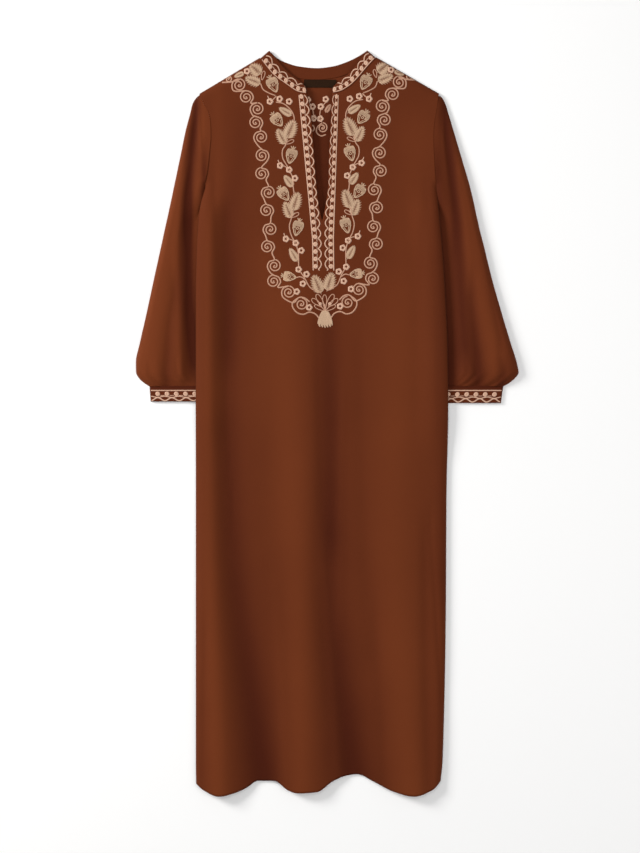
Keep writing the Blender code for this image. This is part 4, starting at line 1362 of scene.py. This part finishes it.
@dataclass
class YokeEmbroidery:
    """Scrolls, vines, leaves, buds and flowers round the neck slit."""

    panels: BodyPanels
    leaf_thread: Material
    rose_thread: Material
    bead_thread: Material
    scroll_start: float = 11.7
    scroll_pass: float = 13.3
    scroll_width: float = 3.0
    stem_width: float = 2.4
    teeth: float = 2.1
    right_higher: float = 5.0
    edge_gap: float = 1.4
    shoulder_scroll: tuple = (-187.0, 652.0)
    last_scroll: tuple = (-49.0, 225.5)
    beads: tuple = ((-13.0, 226.0), (5.0, 226.0))
    held_above: float = 600.0
    higher_from: float = 190.0
    higher_to: float = 700.0
    higher_reach: float = 60.0
    tuft_x: float = -4.0
    tuft_steps: int = 17
    tuft_halves: tuple = (5.0, 13.4)
    tuft_levels: tuple = (214.0, 204.0, 193.0, 180.0)
    tuft_ends: tuple = (5.0, 2.0, 0.0)
    tuft_spikes: tuple = (206.0, 199.0, 192.0)

    def ground(self, x: Array, y: Array) -> Array:
        """Points on the front, with what runs past the shoulder held at its edge."""
        y = np.where(y > self.held_above, np.minimum(y, LAY.shoulder_line(x) - self.edge_gap), y)
        return np.column_stack((x, y, self.panels.surface(x, y)))

    def mirrored(self, side: Side, x: Array, y: Array) -> Places:
        """Place of a left item on the given side.

        Args:
            side: Side to draw on.
            x: X on the left side.
            y: Y on the left side.

        Returns:
            The place or places, by x and y.
        """
        x, y = np.asarray(x, float), np.asarray(y, float)
        if side is Side.LEFT:
            return np.stack((x, y), axis=-1)
        higher = self.right_higher * ease((y - self.higher_from) / self.higher_reach)
        higher = higher * ease((self.higher_to - y) / self.higher_reach)
        return np.stack((2.0 * column(AXIS, "y", "x", y) - x, y + higher), axis=-1)

    def path(self, side: Side, points: Sequence) -> Places:
        """A line of the left side on the given side."""
        return self.mirrored(side, *np.array(points, float).T)

    def moved(self, side: Side, motif: Motif) -> Motif:
        """A left motif on the given side."""
        base = self.mirrored(side, motif.base_x, motif.base_y)
        tip = self.mirrored(side, motif.tip_x, motif.tip_y)
        return Motif(*base, *tip, motif.width)

    def scrolls(self, work: Needlework, side: Side) -> None:
        """Add the outer line and its spirals on one side."""
        line = []
        for row in SCROLLS:
            x = float(column(AXIS, "y", "x", row.y)) - row.away
            way = -1.0 if row.outer else 1.0
            line += [(x + way * across * self.scroll_pass, row.y + up * self.scroll_start + shift)
                     for across, up, shift in SCROLL_LINE]
            work.spiral(*self.mirrored(side, x, row.y), way * side.sign, self.scroll_start)
        for points in (line + SCROLL_JOIN, SHOULDER_LINE + line[:1], SCROLL_END):
            work.curve(self.path(side, points), self.scroll_width, 0.8)
        work.spiral(*self.mirrored(side, *self.last_scroll), -side.sign, self.scroll_start)
        work.spiral(*self.mirrored(side, *self.shoulder_scroll), -side.sign, 6.0, 1.2)

    def tuft(self, work: Needlework) -> None:
        """Add the bound tuft at the bottom of the yoke."""
        start, upper, lower, bottom_level = self.tuft_levels
        for i, share in enumerate(np.linspace(-1.0, 1.0, self.tuft_steps)):
            top, bottom = (self.tuft_x + half * share for half in self.tuft_halves)
            end = bottom_level + self.tuft_ends[i % 3] + 2.5 * abs(share)
            work.curve(((top, start - 2.0 * abs(share)), (blend(top, bottom, 0.5), upper),
                        (blend(top, bottom, 0.92), lower), (bottom, end)), 2.5, 0.9)
        for side in (-1.0, 1.0):
            for y in self.tuft_spikes:
                x = self.tuft_x + side * (6.5 + 0.2 * (self.tuft_spikes[0] - y))
                work.curve(((x - side * 3.0, y + 4.0), (x, y), (x + side * 4.2, y - 3.6)), 2.3, 0.8)

    def build(self) -> None:
        """Make the yoke's three pieces of needlework."""
        leaves = Needlework("yoke_leaves", self.leaf_thread, "thread", self.ground)
        vines = Needlework("yoke_scrolls", self.rose_thread, "rose_thread", self.ground)
        beads = Needlework("yoke_flowers", self.bead_thread, "rose_thread", self.ground)
        for side in Side:
            self.scrolls(vines, side)
            for motifs, teeth in ((TOOTHED_LEAVES, self.teeth), (PLAIN_LEAVES, 0.0)):
                for motif in motifs:
                    leaves.leaf(self.moved(side, motif), teeth)
            for motif in BUDS:
                leaves.bud(self.moved(side, motif))
            for motif in HOOKS:
                vines.loop_leaf(self.moved(side, motif))
            for stem in STEMS:
                vines.curve(self.path(side, stem), self.stem_width, 0.7)
            for ring in RINGS:
                tail = self.mirrored(side, ring.x - 4.0, ring.y + 10.0) if ring.tail else ()
                beads.flower(*self.mirrored(side, ring.x, ring.y), tail)
        for motif in CENTRE_SPRIG:
            vines.loop_leaf(motif)
        vines.curve(SPRIG_STALK, 2.2)
        for x, y in self.beads:
            beads.dot(x, y, 3.2, 0.9)
        self.tuft(leaves)
        for work in (leaves, vines, beads):
            work.build()


@dataclass
class BandEmbroidery:
    """Chain border, dots and a waved line along a band, in the band's own run and width."""

    name: str
    finish: Material
    ground: Heights
    length: float
    width: float = 18.5
    pitch: float = 14.0
    wave: float = 19.5
    start: float = 4.0
    dot: float = 4.6
    step: float = 1.2
    border: float = 1.3
    crossed: bool = False

    def build(self) -> None:
        """Make the band's needlework."""
        work = Needlework(self.name, self.finish, "embroidered_band", self.ground)
        run = np.arange(0.8, self.length - 0.8, self.step)
        work.line(np.column_stack((run, np.full(len(run), self.border))), 2.4, 0.7)
        middle = 0.35 * self.width
        for at in np.arange(self.start, self.length - 3.0, self.pitch):
            work.dot(at, middle, self.dot, 0.95)
            if at + self.pitch < self.length:
                bridge = [(at + share * self.pitch, middle + 3.0) for share in (0.25, 0.5, 0.75)]
                work.curve(bridge, 1.3, 0.5)
        if self.crossed:
            turn = np.cos(2.0 * np.pi * run / self.wave)
            waves = ((0.80 + 0.13 * turn, 2.6, 0.7), (0.60 - 0.05 * turn, 2.2, 0.6))
        else:
            waves = ((0.6 + 0.34 * np.abs(np.sin(np.pi * run / self.wave)) ** 0.75, 2.4, 0.7),)
        for share, width, rise in waves:
            work.line(np.column_stack((run, share * self.width)), width, rise)
        work.build()


@dataclass
class SlitBand:
    """Ground of the embroidered band along one edge of the neck slit."""

    side: Side
    panels: BodyPanels
    top: float = 623.0
    bottom: float = 287.0
    full_width: float = 18.5
    margin: float = 0.6
    border_left: tuple = rows(Spot, (-27.7, 291), (-29, 351), (-54.9, 625))
    border_right: tuple = rows(Spot, (13.7, 292), (13, 351), (21.9, 624))

    def ground(self, run: Array, across: Array) -> Array:
        """Points on the front at a run down the band and a distance in from its border."""
        y = self.top - run
        table = np.array(self.border_left if self.side is Side.LEFT else self.border_right)
        border = np.interp(y, table[:, 1], table[:, 0])
        edge = np.where(y > LAY.slit_end.y, column(SLIT_EDGES, "y", self.side.value, y), LAY.slit_end.x)
        room = np.abs(border - edge) - self.margin
        x = border - self.side.sign * across * np.minimum(1.0, room / self.full_width)
        return np.column_stack((x, y, self.panels.surface(x, y)))

    def embroider(self, thread: Material) -> None:
        """Add the band of needlework."""
        BandEmbroidery(f"slit_band_{self.side.value}", thread, self.ground, self.top - self.bottom).build()


@dataclass
class BackNeckEmbroidery:
    """The part of the back's neck embroidery that shows through the slit."""

    vine: Material
    bead: Material
    wall: float = 0.9
    scroll_radius: float = 9.5

    def ground(self, x: Array, y: Array) -> Array:
        """Points on the upper face of the back panel."""
        return np.column_stack((x, y, LAY.back_height(x, y) - LAY.cloth / 2 + self.wall))

    def build(self) -> None:
        """Make the pieces that show inside the neck."""
        vines = Needlework("back_neck_vine", self.vine, "rose_thread", self.ground)
        beads = Needlework("back_neck_flowers", self.bead, "rose_thread", self.ground)
        for ring in BACK_RINGS:
            beads.flower(ring.x, ring.y)
        for motif in BACK_LEAVES:
            vines.leaf(motif, 0.0)
        for x, y, side in BACK_SPIRALS:
            vines.spiral(x, y, side, self.scroll_radius)
        for points in BACK_VINES:
            vines.curve(points, 2.2)
        vines.curve(BACK_SCROLL_LINE, 2.6)
        vines.build()
        beads.build()


Lamp = namedtuple("Lamp", "name place aim size power tint")


@dataclass
class Studio:
    """Floor, soft light and the camera straight above the garment."""

    frame_height: float = 853.0
    scale: float = 1.9
    centre: tuple = (-13.7, -6.6)
    distance: float = 4.0
    sensor: float = 36.0
    floor_size: float = 12.0
    floor_level: float = -0.0004
    sky: float = 0.26
    lamps: tuple = rows(
        Lamp, ("key", (-3.3, 1.5, 1.75), (0.0, 0.0, 0.0), 1.3, 150.0, (1.0, 0.99, 0.97)),
        ("fill", (2.6, -1.0, 3.0), (0.0, -0.1, 0.0), 2.4, 30.0, (1.0, 0.99, 0.98)),
        ("top", (0.0, 0.4, 4.4), (0.0, 0.0, 0.0), 3.0, 70.0, (1.0, 1.0, 1.0)),
    )

    def floor(self) -> None:
        """Lay the pale floor under the garment."""
        bpy.ops.mesh.primitive_plane_add(size=self.floor_size, location=(0.0, 0.0, self.floor_level))
        plane = bpy.context.object
        plane.name = "studio_floor"
        plane.data.materials.append(FloorFinish().make())

    def camera(self) -> None:
        """Look straight down, with the photograph's frame round the garment."""
        data = bpy.data.cameras.new("camera")
        data.sensor_width = self.sensor
        data.lens = self.sensor * self.distance / (self.frame_height * self.scale * METRES)
        data.clip_end = 50.0
        camera = bpy.data.objects.new("camera", data)
        camera.location = (self.centre[0] * METRES, self.centre[1] * METRES, self.distance)
        bpy.context.scene.collection.objects.link(camera)
        bpy.context.scene.camera = camera

    def light(self, lamp: Lamp) -> None:
        """Add one soft square light, with its place, aim and size in metres."""
        data = bpy.data.lights.new(lamp.name, "AREA")
        data.shape = "SQUARE"
        data.size = lamp.size
        data.energy = lamp.power
        data.color = lamp.tint
        piece = bpy.data.objects.new(lamp.name, data)
        piece.location = lamp.place
        piece.rotation_euler = (Vector(lamp.aim) - Vector(lamp.place)).to_track_quat("-Z", "Y").to_euler()
        bpy.context.scene.collection.objects.link(piece)

    def build(self) -> None:
        """Set up the whole studio."""
        self.floor()
        self.camera()
        for lamp in self.lamps:
            self.light(lamp)
        world = bpy.context.scene.world or bpy.data.worlds.new("world")
        bpy.context.scene.world = world
        world.use_nodes = True
        sky = world.node_tree.nodes["Background"].inputs
        sky["Color"].default_value = (1.0, 1.0, 1.0, 1.0)
        sky["Strength"].default_value = self.sky
        bpy.context.scene.view_settings.view_transform = "Standard"


def dress_label() -> None:
    """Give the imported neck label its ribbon, left bare."""
    label = bpy.data.objects["neck_label"]
    label.data.materials.clear()
    label.data.materials.append(RibbonFinish().make())
    LOG.info("dressed neck_label")


def main() -> None:
    """Build the garment piece by piece and set up the studio."""
    logging.basicConfig(level=logging.INFO)
    twill = TwillFinish("twill").make()
    bands = TwillFinish("band_twill").make()
    leaf_thread = ThreadFinish("leaf_thread", (0.62, 0.415, 0.27), (0.38, 0.235, 0.145)).make()
    rose_thread = ThreadFinish("rose_thread", (0.58, 0.325, 0.215), (0.36, 0.18, 0.11)).make()
    bead_thread = ThreadFinish("bead_thread", (0.70, 0.44, 0.31), (0.46, 0.26, 0.175)).make()
    panels = BodyPanels(twill)
    panels.build()
    # The left sleeve gets more painted light (0.68) than the right (0.46).
    Sleeve(Side.LEFT, twill, LEFT_SECTIONS, LEFT_SLEEVE_FOLDS, LEFT_SLEEVE_CREASES,
           LEFT_SLEEVE_PAINTED_SHADES, 0.68).build()
    Sleeve(Side.RIGHT, twill, RIGHT_SECTIONS, RIGHT_SLEEVE_FOLDS, RIGHT_SLEEVE_CREASES,
           RIGHT_SLEEVE_PAINTED_SHADES, 0.46).build()
    for side, hoops in ((Side.LEFT, LEFT_CUFF), (Side.RIGHT, RIGHT_CUFF)):
        cuff = Cuff(side, bands, hoops)
        cuff.build()
        cuff.embroider(bead_thread)
    collar = Collar(bands)
    collar.build()
    collar.embroider(bead_thread)
    YokeEmbroidery(panels, leaf_thread, rose_thread, bead_thread).build()
    for side in Side:
        SlitBand(side, panels).embroider(bead_thread)
    BackNeckEmbroidery(rose_thread, bead_thread).build()
    dress_label()
    Studio().build()


if __name__ == "__main__":
    main()
